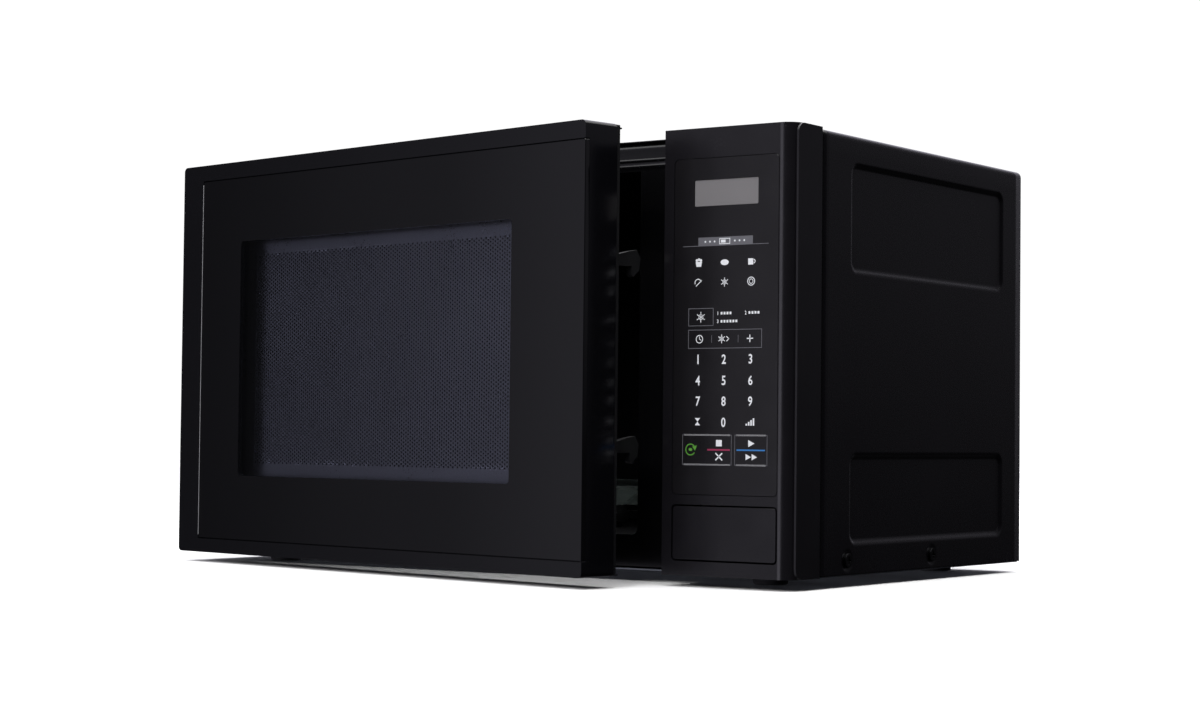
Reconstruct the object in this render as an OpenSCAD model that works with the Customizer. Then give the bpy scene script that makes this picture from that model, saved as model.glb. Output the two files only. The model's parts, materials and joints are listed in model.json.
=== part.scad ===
// Countertop microwave oven with its side-hung door ajar.
// Units are millimetres. X runs across the front, Y to the back and Z up. The origin is on
// the surface that the oven stands on, under the middle of its overall box.

/* [Overall] */
// Width of the body
body_w = 455; // [430:1:500]
// Height of the body above its feet
body_h = 246; // [236:1:290]
// Depth from the control panel's face to the rear edge of the cabinet
cabinet_d = 280; // [260:1:330]
// Depth of the rear bulge behind the cabinet's rear edge
bulge_d = 34; // [25:1:50]
// Thickness of the door's frame
door_t = 24.2; // [22:0.1:25]
// Thickness of the choke cover on the door's back
cover_t = 2.5; // [2:0.1:4]
// Clearance between the closed door and the front plate
door_clear = 1.8; // [1:0.1:3]
// Height of the feet
foot_h = 6; // [4:0.5:15]
// Diameter of the feet
foot_d = 22; // [14:1:30]
// Thickness of the steel sheets
sheet = 0.8; // [0.6:0.1:1.2]

/* [Control housing] */
// Width of the control housing
panel_w = 84; // [78:1:110]
// Depth of the control housing, from its face to the front plate
housing_d = door_t + cover_t + door_clear; // [28:0.5:40]
// Radius of the housing's rounded right edge
panel_round = 9; // [4:0.5:14]
// Wall of the plastic mouldings
wall = 2.5; // [2:0.1:3.2]
// Border between the housing's edges and the keypad
keypad_border = 6.3; // [4:0.1:10]
// Height of the keypad's lower edge
keypad_z = 44.2; // [43:0.5:60]
// Thickness of the keypad film
keypad_t = 0.5; // [0.3:0.1:1]
// Width of the display window
display_w = 41; // [30:1:60]
// Height of the display window
display_h = 14.6; // [10:0.2:24]
// Drop from the body's top to the display window's lower edge
display_drop = 43.4; // [40:0.2:60]
// Height of the open button's opening
button_h = 31; // [24:0.5:34]
// Lower edge of the open button's opening
button_z = 8; // [6:0.5:10]
// Gap round the open button
button_gap = 0.9; // [0.5:0.1:1.5]
// Travel of the open button
button_travel = 5; // [3:0.5:5]

/* [Door] */
// Gap between the door and the control housing
door_gap = 1; // [0.5:0.1:2]
// Angle by which the door stands open
door_rest_angle = 10.2; // [0:0.1:30]
// Width of the frame's strip at the hinge side
strip_side = 20.8; // [12:0.1:30]
// Width of the frame's strip along the top
strip_top = 10; // [6:0.1:16]
// Width of the frame's strip along the bottom
strip_bottom = 8.6; // [6:0.1:16]
// Thickness of the front glass
glass_t = 3; // [2:0.1:4]
// Gap between the front glass and its frame
glass_gap = 0.4; // [0.2:0.1:0.8]
// Left edge of the window from the door's left edge
window_x = 62.1; // [50:0.1:70]
// Right edge of the window from the door's free edge
window_right = 57.9; // [50:0.1:70]
// Lower edge of the window
window_z = 49.1; // [44:0.1:60]
// Upper edge of the window from the door's top
window_top = 50.4; // [44:0.1:60]
// Radius of the hinge pins
pin_r = 3; // [2:0.1:3.5]
// Distance of the hinge axis from the door's left edge
hinge_inset = 9; // [8:0.1:9.5]
// Distance of the hinge axis behind the door's face
hinge_y = 13; // [12:0.1:14]
// Running clearance of pins and shafts, on the radius
running = 0.05; // [0.02:0.01:0.1]

/* [Cavity] */
// Cavity's left wall from the body's left side
cavity_left = 29.5; // [22:0.5:34]
// Room between the cavity's right wall and the control housing's left edge, for the latch
latch_room = 35.5; // [35:0.5:50]
// Height of the cavity's floor
cavity_z = 20; // [19:0.5:24]
// Drop from the body's top to the cavity's ceiling
cavity_top = 18; // [12:0.5:30]
// Cavity's back wall past the cabinet's rear edge, inside the rear bulge
cavity_back = 16.5; // [5:0.5:24]

/* [Turntable] */
// Diameter of the glass tray
tray_d = 245; // [220:1:250]
// Radius on which the rollers run
roller_track = 88; // [70:1:95]
// Diameter of the rollers
roller_d = 14; // [12:0.5:18]

/* [Latch] */
// Reach of the latch hooks behind the front plate
hook_reach = 19.9; // [18:0.1:22]
// Thickness of the latch hooks
hook_t = 4; // [3:0.1:4.5]
// Lift of the latch key
latch_travel = 5; // [4:0.5:6]

/* [Hidden] */

$fn = 48;
over = 1;               // how far a cut runs past the face that it opens
touch = 0.3;            // gap between pieces that move past each other

// Body, from its own lower front corner: x is centred, y starts at the panel's face
body_x0 = -body_w / 2;
body_x1 = body_w / 2;
plate_y = housing_d;
plate_back = plate_y + sheet;
rear_y = cabinet_d + bulge_d;
panel_x0 = body_x1 - panel_w;

// Door, closed
door_x0 = body_x0;
door_x1 = panel_x0 - door_gap;
hinge_x = door_x0 + hinge_inset;
tongue_r = 7;
tongue_t = 2;
tongue_z = 3;
notch_z = 5.6;
notch_r = tongue_r + 2.2;
bush_r = pin_r + 2;
pin_top = 14;
frame_wall = 2.5;
screen_y = 11;
screen_t = 0.8;
film_t = 0.5;
cover_back = door_t + cover_t;
cover_inset = 7;
corner_r = 3;

// Overall box with the door ajar, which places the origin
door_reach = (door_x1 - hinge_x) * sin(door_rest_angle) + hinge_y * cos(door_rest_angle) - hinge_y;
origin_y = round((rear_y - door_reach) / 2);

// Cavity
cavity_x0 = body_x0 + cavity_left;
cavity_x1 = panel_x0 - latch_room;
cavity_z1 = body_h - cavity_top;
cavity_y1 = cabinet_d + cavity_back;
cavity_wall = cavity_x1 + sheet;
spin_x = (cavity_x0 + cavity_x1) / 2;
spin_y = (plate_y + cavity_y1) / 2;

// Turntable
tray_gap = 0.2;
roller_r = roller_d / 2;
tray_z = cavity_z + roller_d + tray_gap;
tray_t = 5;
tray_rim = 12;
shaft_r = 3;
hub_r = 9;
motor_d = 49;
motor_h = 14;

// Control housing
keypad_x0 = panel_x0 + keypad_border;
keypad_x1 = body_x1 - panel_round - 1;
keypad_z1 = body_h - 16.6;
display_x = keypad_x0 + 13.3;
display_z = body_h - display_drop;
side_pad = 0.8;

// Open button
button_x0 = keypad_x0;
button_x1 = keypad_x1;
button_cap = 12;
rod_r = 3;
rod_touch = 0.3;

// Latch: the key sits inside the door's free end and its hooks pass through the front plate
hook_x = door_x1 - 8;
hook_drops = [61.2, 163.6];
hook_nose = 5.3;
hook_h = 15;
catch_y0 = plate_back + 1.7;
catch_t = 6;
catch_h = 6.5;
lever_y = plate_y + 6.5;
lever_z = 46;
rod_z = 32;
latch_back = plate_back + 48.7;
switch_y = plate_back + 14.7;
lever_x0 = hook_x - hook_t / 2;
rod_x = panel_x0 + 11;
board_x = hook_x - 8;
lever_r = 2;

// Component bay, right of the cavity
bay_x = (cavity_wall + body_x1) / 2;
guide_d = 30;
guide_y = 175;
guide_z = cavity_z1 - 60;
fan_y = 252;
fan_z = cavity_z1 - 48;
fan_r = 46;
fan_x = bay_x + 3;
mag_x0 = cavity_wall + guide_d;
mag_w = 66;
core_y = 128;

// Outlines and blanks ------------------------------------------------------------------

// Rectangle between two corners, with corners of radius r
module rr(x0, x1, y0, y1, r = 0) {
    if (r > 0) {
        translate([x0 + r, y0]) square([x1 - x0 - 2 * r, y1 - y0]);
        translate([x0, y0 + r]) square([x1 - x0, y1 - y0 - 2 * r]);
        for (x = [x0 + r, x1 - r], y = [y0 + r, y1 - r]) translate([x, y]) circle(r);
    } else {
        translate([x0, y0]) square([x1 - x0, y1 - y0]);
    }
}

// Plates: the outline is drawn in XY, XZ or YZ and stands between two heights
module plate_z(z0, z1) translate([0, 0, z0]) linear_extrude(z1 - z0) children();
module plate_y(y0, y1) translate([0, y1, 0]) rotate([90, 0, 0]) linear_extrude(y1 - y0) children();
module plate_x(x0, x1) translate([x0, 0, 0]) rotate([90, 0, 90]) linear_extrude(x1 - x0) children();

module block(x0, x1, y0, y1, z0, z1) translate([x0, y0, z0]) cube([x1 - x0, y1 - y0, z1 - z0]);

// Rods from a point along an axis
module rod_z(p, r, l) translate(p) cylinder(h = l, r = r);
module rod_y(p, r, l) translate(p) rotate([-90, 0, 0]) cylinder(h = l, r = r);
module rod_x(p, r, l) translate(p) rotate([0, 90, 0]) cylinder(h = l, r = r);

// Round wire wound along +Z from z = 0 to z = l
module coil(r, wire, l, turns) {
    sides = 6;
    steps = turns * 10;
    function ring(i) = let (a = 360 * i * turns / steps, z = wire / 2 + (l - wire) * i / steps)
        [for (k = [0 : sides - 1]) let (b = 360 * k / sides, d = r + wire / 2 * cos(b))
            [d * cos(a), d * sin(a), z + wire / 2 * sin(b)]];
    points = [for (i = [0 : steps]) each ring(i)];
    skin = [for (i = [0 : steps - 1], k = [0 : sides - 1]) let (n = (k + 1) % sides)
        [i * sides + k, i * sides + n, (i + 1) * sides + n, (i + 1) * sides + k]];
    first = [for (k = [sides - 1 : -1 : 0]) k];
    last = [for (k = [0 : sides - 1]) steps * sides + k];
    polyhedron(points, concat([first], [for (f = skin) [f[3], f[2], f[1], f[0]]], [last]));
}

// Pan-head screw with its head's underside at the origin and its shank along -Z
module screw(head_r = 4, shank_r = 1.9, l = 7) {
    difference() {
        union() {
            cylinder(h = 1.6, r = head_r);
            translate([0, 0, -l]) cylinder(h = l + 0.5, r = shank_r);
        }
        for (a = [0, 90]) rotate(a) translate([-head_r * 0.55, -0.5, 0.8]) cube([head_r * 1.1, 1, 2]);
    }
}

// The body stands on its feet, and the door's pieces turn about the hinge
module placed() translate([0, -origin_y, foot_h]) children();
module on_door() placed()
    translate([hinge_x, hinge_y, 0]) rotate([0, 0, -door_rest_angle])
    translate([-hinge_x, -hinge_y, 0]) children();

// Steel body ---------------------------------------------------------------------------

slot_x0 = hook_x - 5;
slot_x1 = hook_x + 5;

module front_plate() color("#2b2b2e") placed() difference() {
    union() {
        plate_y(plate_y, plate_back) difference() {
            rr(body_x0 + 2, body_x1 - 2, 2, body_h, 2);
            translate([body_x0, cavity_z1]) square([body_w, body_h]);
        }
        // flange turned back along the bottom
        block(body_x0 + 4, body_x1 - 4, plate_y, plate_y + 12, 2, 2 + sheet);
    }
    plate_y(plate_y - over, plate_back + over) rr(cavity_x0, cavity_x1, cavity_z, cavity_z1 + 10, 4);
    for (z = hook_drops)
        plate_y(plate_y - over, plate_back + over) rr(slot_x0, slot_x1, z - 4, z + hook_h + latch_travel + 3, 1);
    plate_y(plate_y - over, plate_back + over) rr(panel_x0 + 4, body_x1 - 12, 62, cavity_z1 - 6, 2);
    plate_y(plate_y - over, plate_back + over)
        rr(lever_x0 + 6.5, rod_x + 9, rod_z - 12, lever_z + 8, 1);
    block(hinge_x - tongue_r - touch, hinge_x + tongue_r + touch,
        plate_y - over, plate_back + over, tongue_z - touch, tongue_z + tongue_t + touch);
    for (x = [body_x0 + 150, body_x1 - 30])
        rod_z([x, plate_y + 8, 0], 2, 5);
}

// Rail across the top of the front plate: its upper edge is rolled back into a flange
rail_r = 4;
bead_r = 1.2;
bead_out = 0.5;

module front_rail() color("#2b2b2e") placed() difference() {
    union() {
        plate_y(plate_y, plate_back) translate([body_x0 + 2, cavity_z1]) square([body_w - 4, body_h - 2 - rail_r - cavity_z1]);
        plate_x(body_x0 + 4, body_x1 - 4) intersection() {
            difference() {
                rr(plate_y, plate_y + 40, cavity_z1 - 20, body_h - 2, rail_r);
                rr(plate_back, plate_y + 50, cavity_z1 - 30, body_h - 2 - sheet, rail_r - sheet);
            }
            translate([plate_y, cavity_z1]) square([12, body_h]);
        }
        // two stiffening beads above the cavity's mouth
        plate_x(cavity_x0, panel_x0 - 2) intersection() {
            for (z = [cavity_z1 + 2.8, cavity_z1 + 6.2]) translate([plate_y + bead_r - bead_out, z]) circle(bead_r);
            translate([0, cavity_z1]) square([plate_back, body_h]);
        }
    }
    block(hinge_x - tongue_r - touch, hinge_x + tongue_r + touch,
        plate_y - over, plate_y + rail_r + over, body_h - 2 - rail_r, body_h - tongue_z + touch);
}

module base_plate() color("#8f9294") placed() difference() {
    union() {
        block(body_x0 + 1.6, body_x1 - 1.6, plate_back + 0.2, cabinet_d - sheet, 0, sheet);
        // side flanges that the wrap is screwed to
        for (s = [-1, 1]) translate([s * (body_w / 2 - 1.6) - (s > 0 ? sheet : 0), plate_back + 4, 0])
            cube([sheet, cabinet_d - sheet - plate_back - 4, 14]);
        block(body_x0 + 4, body_x1 - 4, cabinet_d - 2 * sheet, cabinet_d - sheet, 0, 14);
    }
    for (p = foot_places) rod_z([p[0], p[1], -over], 2.2, 4);
    for (y = side_screw_y, s = [-1, 1]) rod_x([s > 0 ? body_x1 - 8 : body_x0 - 2, y, side_screw_z], 2, 10);
    for (i = [0 : 9], s = [0, 1])
        plate_z(-over, sheet + over) rr(bay_x - 40 + 9 * i, bay_x - 36 + 9 * i, 60 + 90 * s, 90 + 90 * s, 1.9);
}

rear_x0 = cavity_x0 - 9;
rear_x1 = cavity_x1 + 9;
rear_z0 = cavity_z - 8;
rear_z1 = cavity_z1 + 8;
vent_pitch = 9;
rear_r = 10;
gland_x = body_x1 - 26;
gland_z = 26;
gland_r = 8;

module rear_panel() color("#8f9294") placed() difference() {
    plate_y(cabinet_d - sheet, cabinet_d) rr(body_x0 + 1.6, body_x1 - 1.6, 1, body_h - 1.6, 4);
    plate_y(cabinet_d - sheet - over, cabinet_d + over)
        rr(rear_x0 + sheet, rear_x1 - sheet, rear_z0 + sheet, rear_z1 - sheet, rear_r - sheet);
    // fan inlet, as rows of slots inside a circle
    for (i = [-4 : 4]) let (half = sqrt(pow(fan_r - 4, 2) - pow(i * vent_pitch, 2)))
        plate_y(cabinet_d - sheet - over, cabinet_d + over)
            rr(fan_x - half, fan_x + half, fan_z + i * vent_pitch - 2.2, fan_z + i * vent_pitch + 2.2, 2.1);
    rod_y([gland_x, cabinet_d - sheet - over, gland_z], gland_r, sheet + 2 * over);
    for (p = rear_screw_places) rod_y([p[0], cabinet_d - sheet - over, p[1]], 2, sheet + 2 * over);
}

// Drawn cover behind the cavity, welded to the rear panel by its rim
module rear_bulge() color("#8f9294") placed() difference() {
    union() {
        plate_y(cabinet_d, cabinet_d + sheet) rr(rear_x0 - 7, rear_x1 + 7, rear_z0 - 7, rear_z1 + 7, rear_r + 7);
        plate_y(cabinet_d, rear_y) rr(rear_x0, rear_x1, rear_z0, rear_z1, rear_r);
    }
    plate_y(cabinet_d - over, rear_y - sheet)
        rr(rear_x0 + sheet, rear_x1 - sheet, rear_z0 + sheet, rear_z1 - sheet, rear_r - sheet);
    // air outlet near the top
    for (i = [0 : 11], j = [0 : 3])
        rod_y([rear_x0 + 40 + 9 * i, rear_y - sheet - over, rear_z1 - 24 - 9 * j], 2.4, sheet + 2 * over);
    // the rim clears the screws' heads
    for (p = rear_screw_places) rod_y([p[0], cabinet_d - over, p[1]], rear_head_r + 0.6, sheet + 2 * over);
}

rear_head_r = 3.8;
rear_screw_places = [
    for (x = [body_x0 + 9, body_x1 - 9], z = [60, body_h - 60]) [x, z],
    [body_x0 + 60, body_h - 4.8], [body_x1 - 60, body_h - 4.8]
];

// The wrap is one bent sheet: left side, top and right side. Each side has two pressed fields.
wrap_r = 4;
wrap_step = 0.5;
emboss_d = 1.5;
emboss_y0 = 62;
emboss_y1 = cabinet_d - 25;
emboss_low = [17, 68];
emboss_high = [body_h - 78, body_h - 16];
emboss_r = 7;
side_screw_y = [60, 161];
side_screw_z = 8.6;
seat_r = 6.5;
seat_d = 0.4;

module wrap_section(inset) difference() {
    rr(body_x0 + wrap_step + inset, body_x1 - wrap_step - inset, -20, body_h - wrap_step - inset, wrap_r - inset);
    translate([body_x0 - 1, -30]) square([body_w + 2, 30.6]);
}

module pressed_field(z, out, grow)
    plate_x(-out, out) rr(emboss_y0 - grow, emboss_y1 + grow, z[0] - grow, z[1] + grow, emboss_r + grow);

module cabinet_wrap() color("#262629") placed() difference() {
    union() {
        difference() {
            plate_y(plate_y + 0.4, cabinet_d) wrap_section(0);
            plate_y(plate_y, cabinet_d + over) wrap_section(sheet);
        }
        // backs of the pressed fields
        for (s = [-1, 1]) intersection() {
            translate([s * (body_w / 2 - wrap_step - sheet - emboss_d / 2), 0, 0])
                for (z = [emboss_low, emboss_high]) pressed_field(z, emboss_d / 2 + 0.2, sheet);
            block(body_x0 + wrap_step, body_x1 - wrap_step, 0, cabinet_d, 0, body_h);
        }
        // rear flange that the rear panel seats on
        difference() {
            plate_y(cabinet_d - 2 * sheet - 0.1, cabinet_d - sheet) wrap_section(sheet - 0.1);
            plate_y(cabinet_d - 3, cabinet_d) rr(body_x0 + 12, body_x1 - 12, -over, body_h - 12);
            plate_y(cabinet_d - 3, cabinet_d) rr(body_x0, body_x1, -over, 15);
        }
    }
    for (s = [-1, 1]) translate([s * (body_w / 2 - wrap_step), 0, 0])
        for (z = [emboss_low, emboss_high]) pressed_field(z, emboss_d, 0);
    // screw holes, each in a shallow round seat
    for (y = side_screw_y, s = [-1, 1]) translate([s * (body_w / 2 - wrap_step), y, side_screw_z]) rotate([0, 90 * s, 0]) {
        cylinder(h = 10, r = 2, center = true);
        translate([0, 0, -seat_d]) cylinder(h = seat_d + over, r = seat_r);
    }
    for (p = rear_screw_places) rod_y([p[0], cabinet_d - 5, p[1]], 2, 10);
}

// Pressed-steel cavity, open at the front
lamp_y = 215;
lamp_z = cavity_z1 - 14;

module oven_cavity() color("#c9cacb") placed() difference() {
    block(cavity_x0 - sheet, cavity_wall, plate_back, cavity_y1 + sheet, cavity_z - sheet, cavity_z1 + sheet);
    block(cavity_x0, cavity_x1, plate_y, cavity_y1, cavity_z, cavity_z1);
    rod_z([spin_x, spin_y, 0], shaft_r + 2, cavity_z + over);
    block(cavity_x1 - over, cavity_wall + over, guide_y - 34, guide_y + 34, guide_z - 14, guide_z + 14);
    // lamp and air holes in the right wall, and steam vents in the left wall
    for (i = [-3 : 3], j = [-2 : 2]) rod_x([cavity_x1 - over, lamp_y + 18 + 7 * i, lamp_z - 5 + 7 * j - 8], 2, 4);
    for (i = [0 : 8], j = [0 : 3]) rod_x([cavity_x0 - 2, 180 + 7 * i, cavity_z1 - 20 - 7 * j], 2, 4);
}

foot_places = [for (x = [body_x0 + 45, body_x1 - 45], y = [52, cabinet_d - 28]) [x, y]];

module feet() color("#1d1d1f") placed() for (p = foot_places) difference() {
    translate([p[0], p[1], -foot_h]) cylinder(h = foot_h, r1 = foot_d / 2 - 1.5, r2 = foot_d / 2);
    rod_z([p[0], p[1], -foot_h - over], 4.2, 3 + over);
    rod_z([p[0], p[1], -foot_h], 2.1, foot_h + over);
}

module cabinet_screws() color("#3a3a3d") placed() {
    for (y = side_screw_y, s = [-1, 1])
        translate([s * (body_w / 2 - wrap_step - seat_d), y, side_screw_z]) rotate([0, 90 * s, 0]) screw(4, 1.9, 6);
    for (p = rear_screw_places)
        translate([p[0], cabinet_d, p[1]]) rotate([-90, 0, 0]) screw(rear_head_r, 1.9, 5);
    for (p = foot_places)
        translate([p[0], p[1], -foot_h + 3]) rotate([180, 0, 0]) screw(3.8, 2, foot_h);
}

// Hinges: a bracket behind the front plate with a tongue that carries the pin
module hinge_bracket() {
    difference() {
        union() {
            block(hinge_x - tongue_r, hinge_x + tongue_r, hinge_y, plate_back + 1.5, tongue_z, tongue_z + tongue_t);
            rod_z([hinge_x, hinge_y, tongue_z], tongue_r, tongue_t);
            block(hinge_x - tongue_r, hinge_x + tongue_r, plate_back, plate_back + 1.5, tongue_z, tongue_z + 26);
        }
        for (z = [tongue_z + 12, tongue_z + 20]) rod_y([hinge_x, plate_y, z], 1.6, 6);
    }
    rod_z([hinge_x, hinge_y, tongue_z + 0.5], pin_r, pin_top - tongue_z - 0.5);
}

module hinge_brackets() color("#9a9da0") placed() {
    hinge_bracket();
    translate([0, 0, body_h]) mirror([0, 0, 1]) hinge_bracket();
}

module cord_gland() color("#1b1b1d") placed() difference() {
    union() {
        rod_y([gland_x, cabinet_d, gland_z], gland_r + 3, 2);
        rod_y([gland_x, cabinet_d - 6, gland_z], gland_r, 7);
        translate([gland_x, cabinet_d + 2, gland_z]) rotate([-90, 0, 0])
            cylinder(h = 8, r1 = gland_r, r2 = gland_r - 2);
    }
    rod_y([gland_x, cabinet_d - 10, gland_z], 3.5, 30);
}

// Control housing ----------------------------------------------------------------------

module housing_outline(inset) {
    x0 = panel_x0 + inset;
    x1 = body_x1 - side_pad - inset;
    r = panel_round - inset;
    translate([x0, inset]) square([x1 - x0 - r, plate_y - inset]);
    translate([x0, inset + r]) square([x1 - x0, plate_y - inset - r]);
    translate([x1 - r, inset + r]) circle(r);
}

pad_r = 6;
pad_y = 3;
pad_t = side_pad + 0.4;

module control_housing() color("#2f2f33") placed() difference() {
    union() {
        plate_z(0, body_h) housing_outline(0);
        // raised side face with rounded front corners
        plate_x(body_x1 - pad_t, body_x1) union() {
            rr(pad_y, plate_y, 0, body_h, pad_r);
            rr(pad_y + 10, plate_y, 0, body_h);
        }
    }
    difference() {
        plate_z(wall, body_h - wall) housing_cut();
        // walls of the well that guides the open button
        difference() {
            block(button_x0 - wall, button_x1 + wall, 0, button_cap + button_travel + 3.5, button_z - wall - 2, button_z + button_h + wall);
            block(button_x0, button_x1, -over, plate_y, button_z, button_z + button_h);
        }
    }
    plate_y(-over, wall + over) rr(button_x0, button_x1, button_z, button_z + button_h, 2.5);
    plate_y(-over, keypad_t) rr(keypad_x0, keypad_x1, keypad_z, keypad_z1, 3);
    plate_y(-over, wall + over) rr(display_x, display_x + display_w, display_z, display_z + display_h, 0.8);
    plate_y(-over, wall + over) rr(keypad_x0 + 26, keypad_x0 + 42, keypad_z + 5, keypad_z + 8, 1);
}

module housing_cut() {
    x0 = panel_x0 + wall;
    x1 = body_x1 - side_pad - wall;
    r = panel_round - wall;
    translate([x0, wall]) square([x1 - x0 - r, plate_y]);
    translate([x0, wall + r]) square([x1 - x0, plate_y - r]);
    translate([x1 - r, wall + r]) circle(r);
}

module keypad() color("#323236") placed() difference() {
    plate_y(0.05, keypad_t) rr(keypad_x0 + 0.1, keypad_x1 - 0.1, keypad_z + 0.1, keypad_z1 - 0.1, 2.9);
    plate_y(-over, wall) rr(display_x, display_x + display_w, display_z, display_z + display_h, 0.8);
}

module display_window() color("#6b696a") placed()
    plate_y(0.3, wall) rr(display_x + 0.1, display_x + display_w - 0.1, display_z + 0.1, display_z + display_h - 0.1, 0.7);

module display_module() color("#d8d8d2") placed()
    block(display_x - 3, display_x + display_w + 3, wall + 0.2, 17, display_z - 3, display_z + display_h + 3);

board_y = 17;

module control_board() color("#2e6b3f") placed() difference() {
    block(keypad_x0 + 1, keypad_x1 - 1, board_y, board_y + 1.6, keypad_z + 4, keypad_z1 - 2);
    for (x = [keypad_x0 + 5, keypad_x1 - 5], z = [keypad_z + 8, keypad_z1 - 6]) rod_y([x, board_y - 1, z], 1.6, 4);
}

module board_parts() color("#d9c07a") placed() {
    back = board_y + 1.6;
    block(keypad_x0 + 8, keypad_x0 + 38, back, back + 22, 70, 98);
    for (i = [0 : 2]) block(keypad_x0 + 44, keypad_x0 + 60, back, back + 15, 66 + 24 * i, 86 + 24 * i);
    for (i = [0 : 2]) rod_y([keypad_x0 + 12 + 12 * i, back, 116], 4.5, 14);
    block(keypad_x0 + 12, keypad_x0 + 40, back, back + 3, 140, 148);
    block(keypad_x0 + 10, keypad_x0 + 50, back, back + 8, 180, 186);
}

// Door-open button: cap in the well, spring post and a rod through the front plate
spring_r = 4.5;
spring_x = (button_x0 + button_x1) / 2 + 14;
spring_z = button_z + button_h / 2;
rod_tip = lever_y - lever_r - 0.5 - rod_touch;

module open_button() color("#2f2f33") placed() difference() {
    union() {
        plate_y(0, button_cap)
            rr(button_x0 + button_gap, button_x1 - button_gap, button_z + button_gap, button_z + button_h - button_gap, 2);
        rod_y([spring_x, button_cap - over, spring_z], 2.6, 5);
        rod_y([rod_x, button_cap - over, rod_z], rod_r - 0.2, rod_tip - rod_r - button_cap + over);
        translate([rod_x - 4, rod_tip - rod_r, rod_z]) rotate([0, 90, 0]) cylinder(h = 8, r = rod_r);
    }
    // hollow back of the cap
    difference() {
        plate_y(wall, button_cap + 0.01)
            rr(button_x0 + button_gap + wall, button_x1 - button_gap - wall,
                button_z + button_gap + wall, button_z + button_h - button_gap - wall, 1);
        rod_y([spring_x, 0, spring_z], 6, 30);
        rod_y([rod_x, 0, rod_z], 6, 30);
    }
}

module button_spring() color("#b9bcc0") placed()
    translate([spring_x, button_cap + 0.05, spring_z]) rotate([-90, 0, 0])
        coil(spring_r - 1, 0.9, plate_y - button_cap - 0.1, 6);

// Bell crank on the latch board's pin: the button's rod turns it and it lifts the lower hook
lever_arm = rod_z - lever_z;
tip_y = 14;
tip_z = 12;

module lever_bar(y, z, x0, x1, r) hull() {
    for (p = [[0, 0], [y, z]])
        translate([x0, lever_y + p[0], lever_z + p[1]]) rotate([0, 90, 0]) cylinder(h = x1 - x0, r = r, $fn = 32);
}

module release_lever() color("#c8c9c6") placed() difference() {
    union() {
        rod_x([lever_x0, lever_y, lever_z], lever_r + 2, rod_x + 5 - lever_x0);
        block(rod_x - 5, rod_x + 5, lever_y - lever_r - 0.5, lever_y + lever_r, lever_z + lever_arm - 4, lever_z);
        lever_bar(tip_y, tip_z, lever_x0, lever_x0 + hook_t, lever_r);
    }
    rod_x([lever_x0 - over, lever_y, lever_z], lever_r + running, rod_x + 20 - lever_x0);
}

// Latch board: one plate beside the hooks, with a catch for each hook and the lever's pin
module latch_board() color("#d8d8d4") placed() difference() {
    union() {
        block(board_x - 2.5, board_x, plate_back, latch_back, 38, 196);
        for (z = hook_drops)
            block(board_x - over, hook_x + 6, catch_y0, catch_y0 + catch_t, z + hook_nose - 2 - catch_h, z + hook_nose - 2);
        rod_x([board_x - over, lever_y, lever_z], lever_r, rod_x + 8 - board_x);
        rod_x([board_x - 0.5, lever_y, lever_z], lever_r + 2, lever_x0 - touch - board_x + 0.5);
        for (z = [50, 120, 190]) block(board_x - 10, board_x, plate_back, plate_back + 2.5, z - 5, z + 5);
    }
    for (z = [50, 120, 190]) rod_y([board_x - 6.5, plate_back - over, z], 1.6, 6);
}

module interlock_switches() color("#1e1e20") placed() for (z = [hook_drops[0] + 22, hook_drops[0] + 44, hook_drops[1] - 22]) {
    block(board_x - 2.5 - 10, board_x - 2.5, switch_y, switch_y + 28, z - 8, z + 8);
    for (y = [4, 14, 24]) block(board_x - 2.5 - 14, board_x - 2.5 - 9.9, switch_y + y, switch_y + y + 0.8, z - 3, z + 3);
}

// Door ---------------------------------------------------------------------------------

glass_x0 = door_x0 + strip_side;
glass_z0 = strip_bottom;
glass_z1 = body_h - strip_top;
win_x0 = door_x0 + window_x;
win_x1 = door_x1 - window_right;
win_z1 = body_h - window_top;

module door_outline(inset) rr(door_x0 + inset, door_x1 - inset, inset, body_h - inset, max(corner_r - inset, 0.6));

module door_frame() color("#2c2c30") on_door() difference() {
    union() {
        difference() {
            plate_y(0, door_t) door_outline(0);
            plate_y(glass_t + frame_wall, door_t + over) door_outline(frame_wall);
        }
        // floors of the hinge notches
        for (z = [notch_z, body_h - notch_z - 2.5])
            block(door_x0 + 1, hinge_x + notch_r + 2, hinge_y - notch_r - 2, door_t, z, z + 2.5);
        for (z = [notch_z, body_h - pin_top - 1])
            rod_z([hinge_x, hinge_y, z], bush_r + 1.5, pin_top + 1 - notch_z);
        // bosses for the screws that hold the screen
        for (p = door_screw_places) rod_y([p[0], glass_t + over, p[1]], 4, screen_y - glass_t - over);
    }
    // seat of the front glass, and the opening behind it
    plate_y(-over, glass_t + 0.2) union() {
        rr(glass_x0, door_x1 + over, glass_z0, glass_z1, 0.8);
        translate([door_x1 - 5, glass_z0]) square([10, glass_z1 - glass_z0]);
    }
    plate_y(0, door_t) rr(win_x0 - 12, win_x1 + 12, window_z - 12, win_z1 + 12, 4);
    for (s = [0, 1]) translate([0, 0, s * body_h]) mirror([0, 0, s]) {
        block(door_x0 - over, hinge_x + notch_r, hinge_y - notch_r, door_t + over, -over, notch_z);
        rod_z([hinge_x, hinge_y, notch_z - over], bush_r, pin_top + over);
    }
    for (p = door_screw_places) rod_y([p[0], screen_y + screen_t - door_screw_l - touch, p[1]], 1.5, 30);
}

door_screw_l = 5.5;

door_screw_places = [for (x = [door_x0 + 40, (door_x0 + door_x1) / 2, door_x1 - 40], z = [20, body_h - 20]) [x, z]];

module door_glass() color("#101012") on_door()
    plate_y(0, glass_t) rr(glass_x0 + glass_gap, door_x1, glass_z0 + glass_gap, glass_z1 - glass_gap, 0.6);

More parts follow.
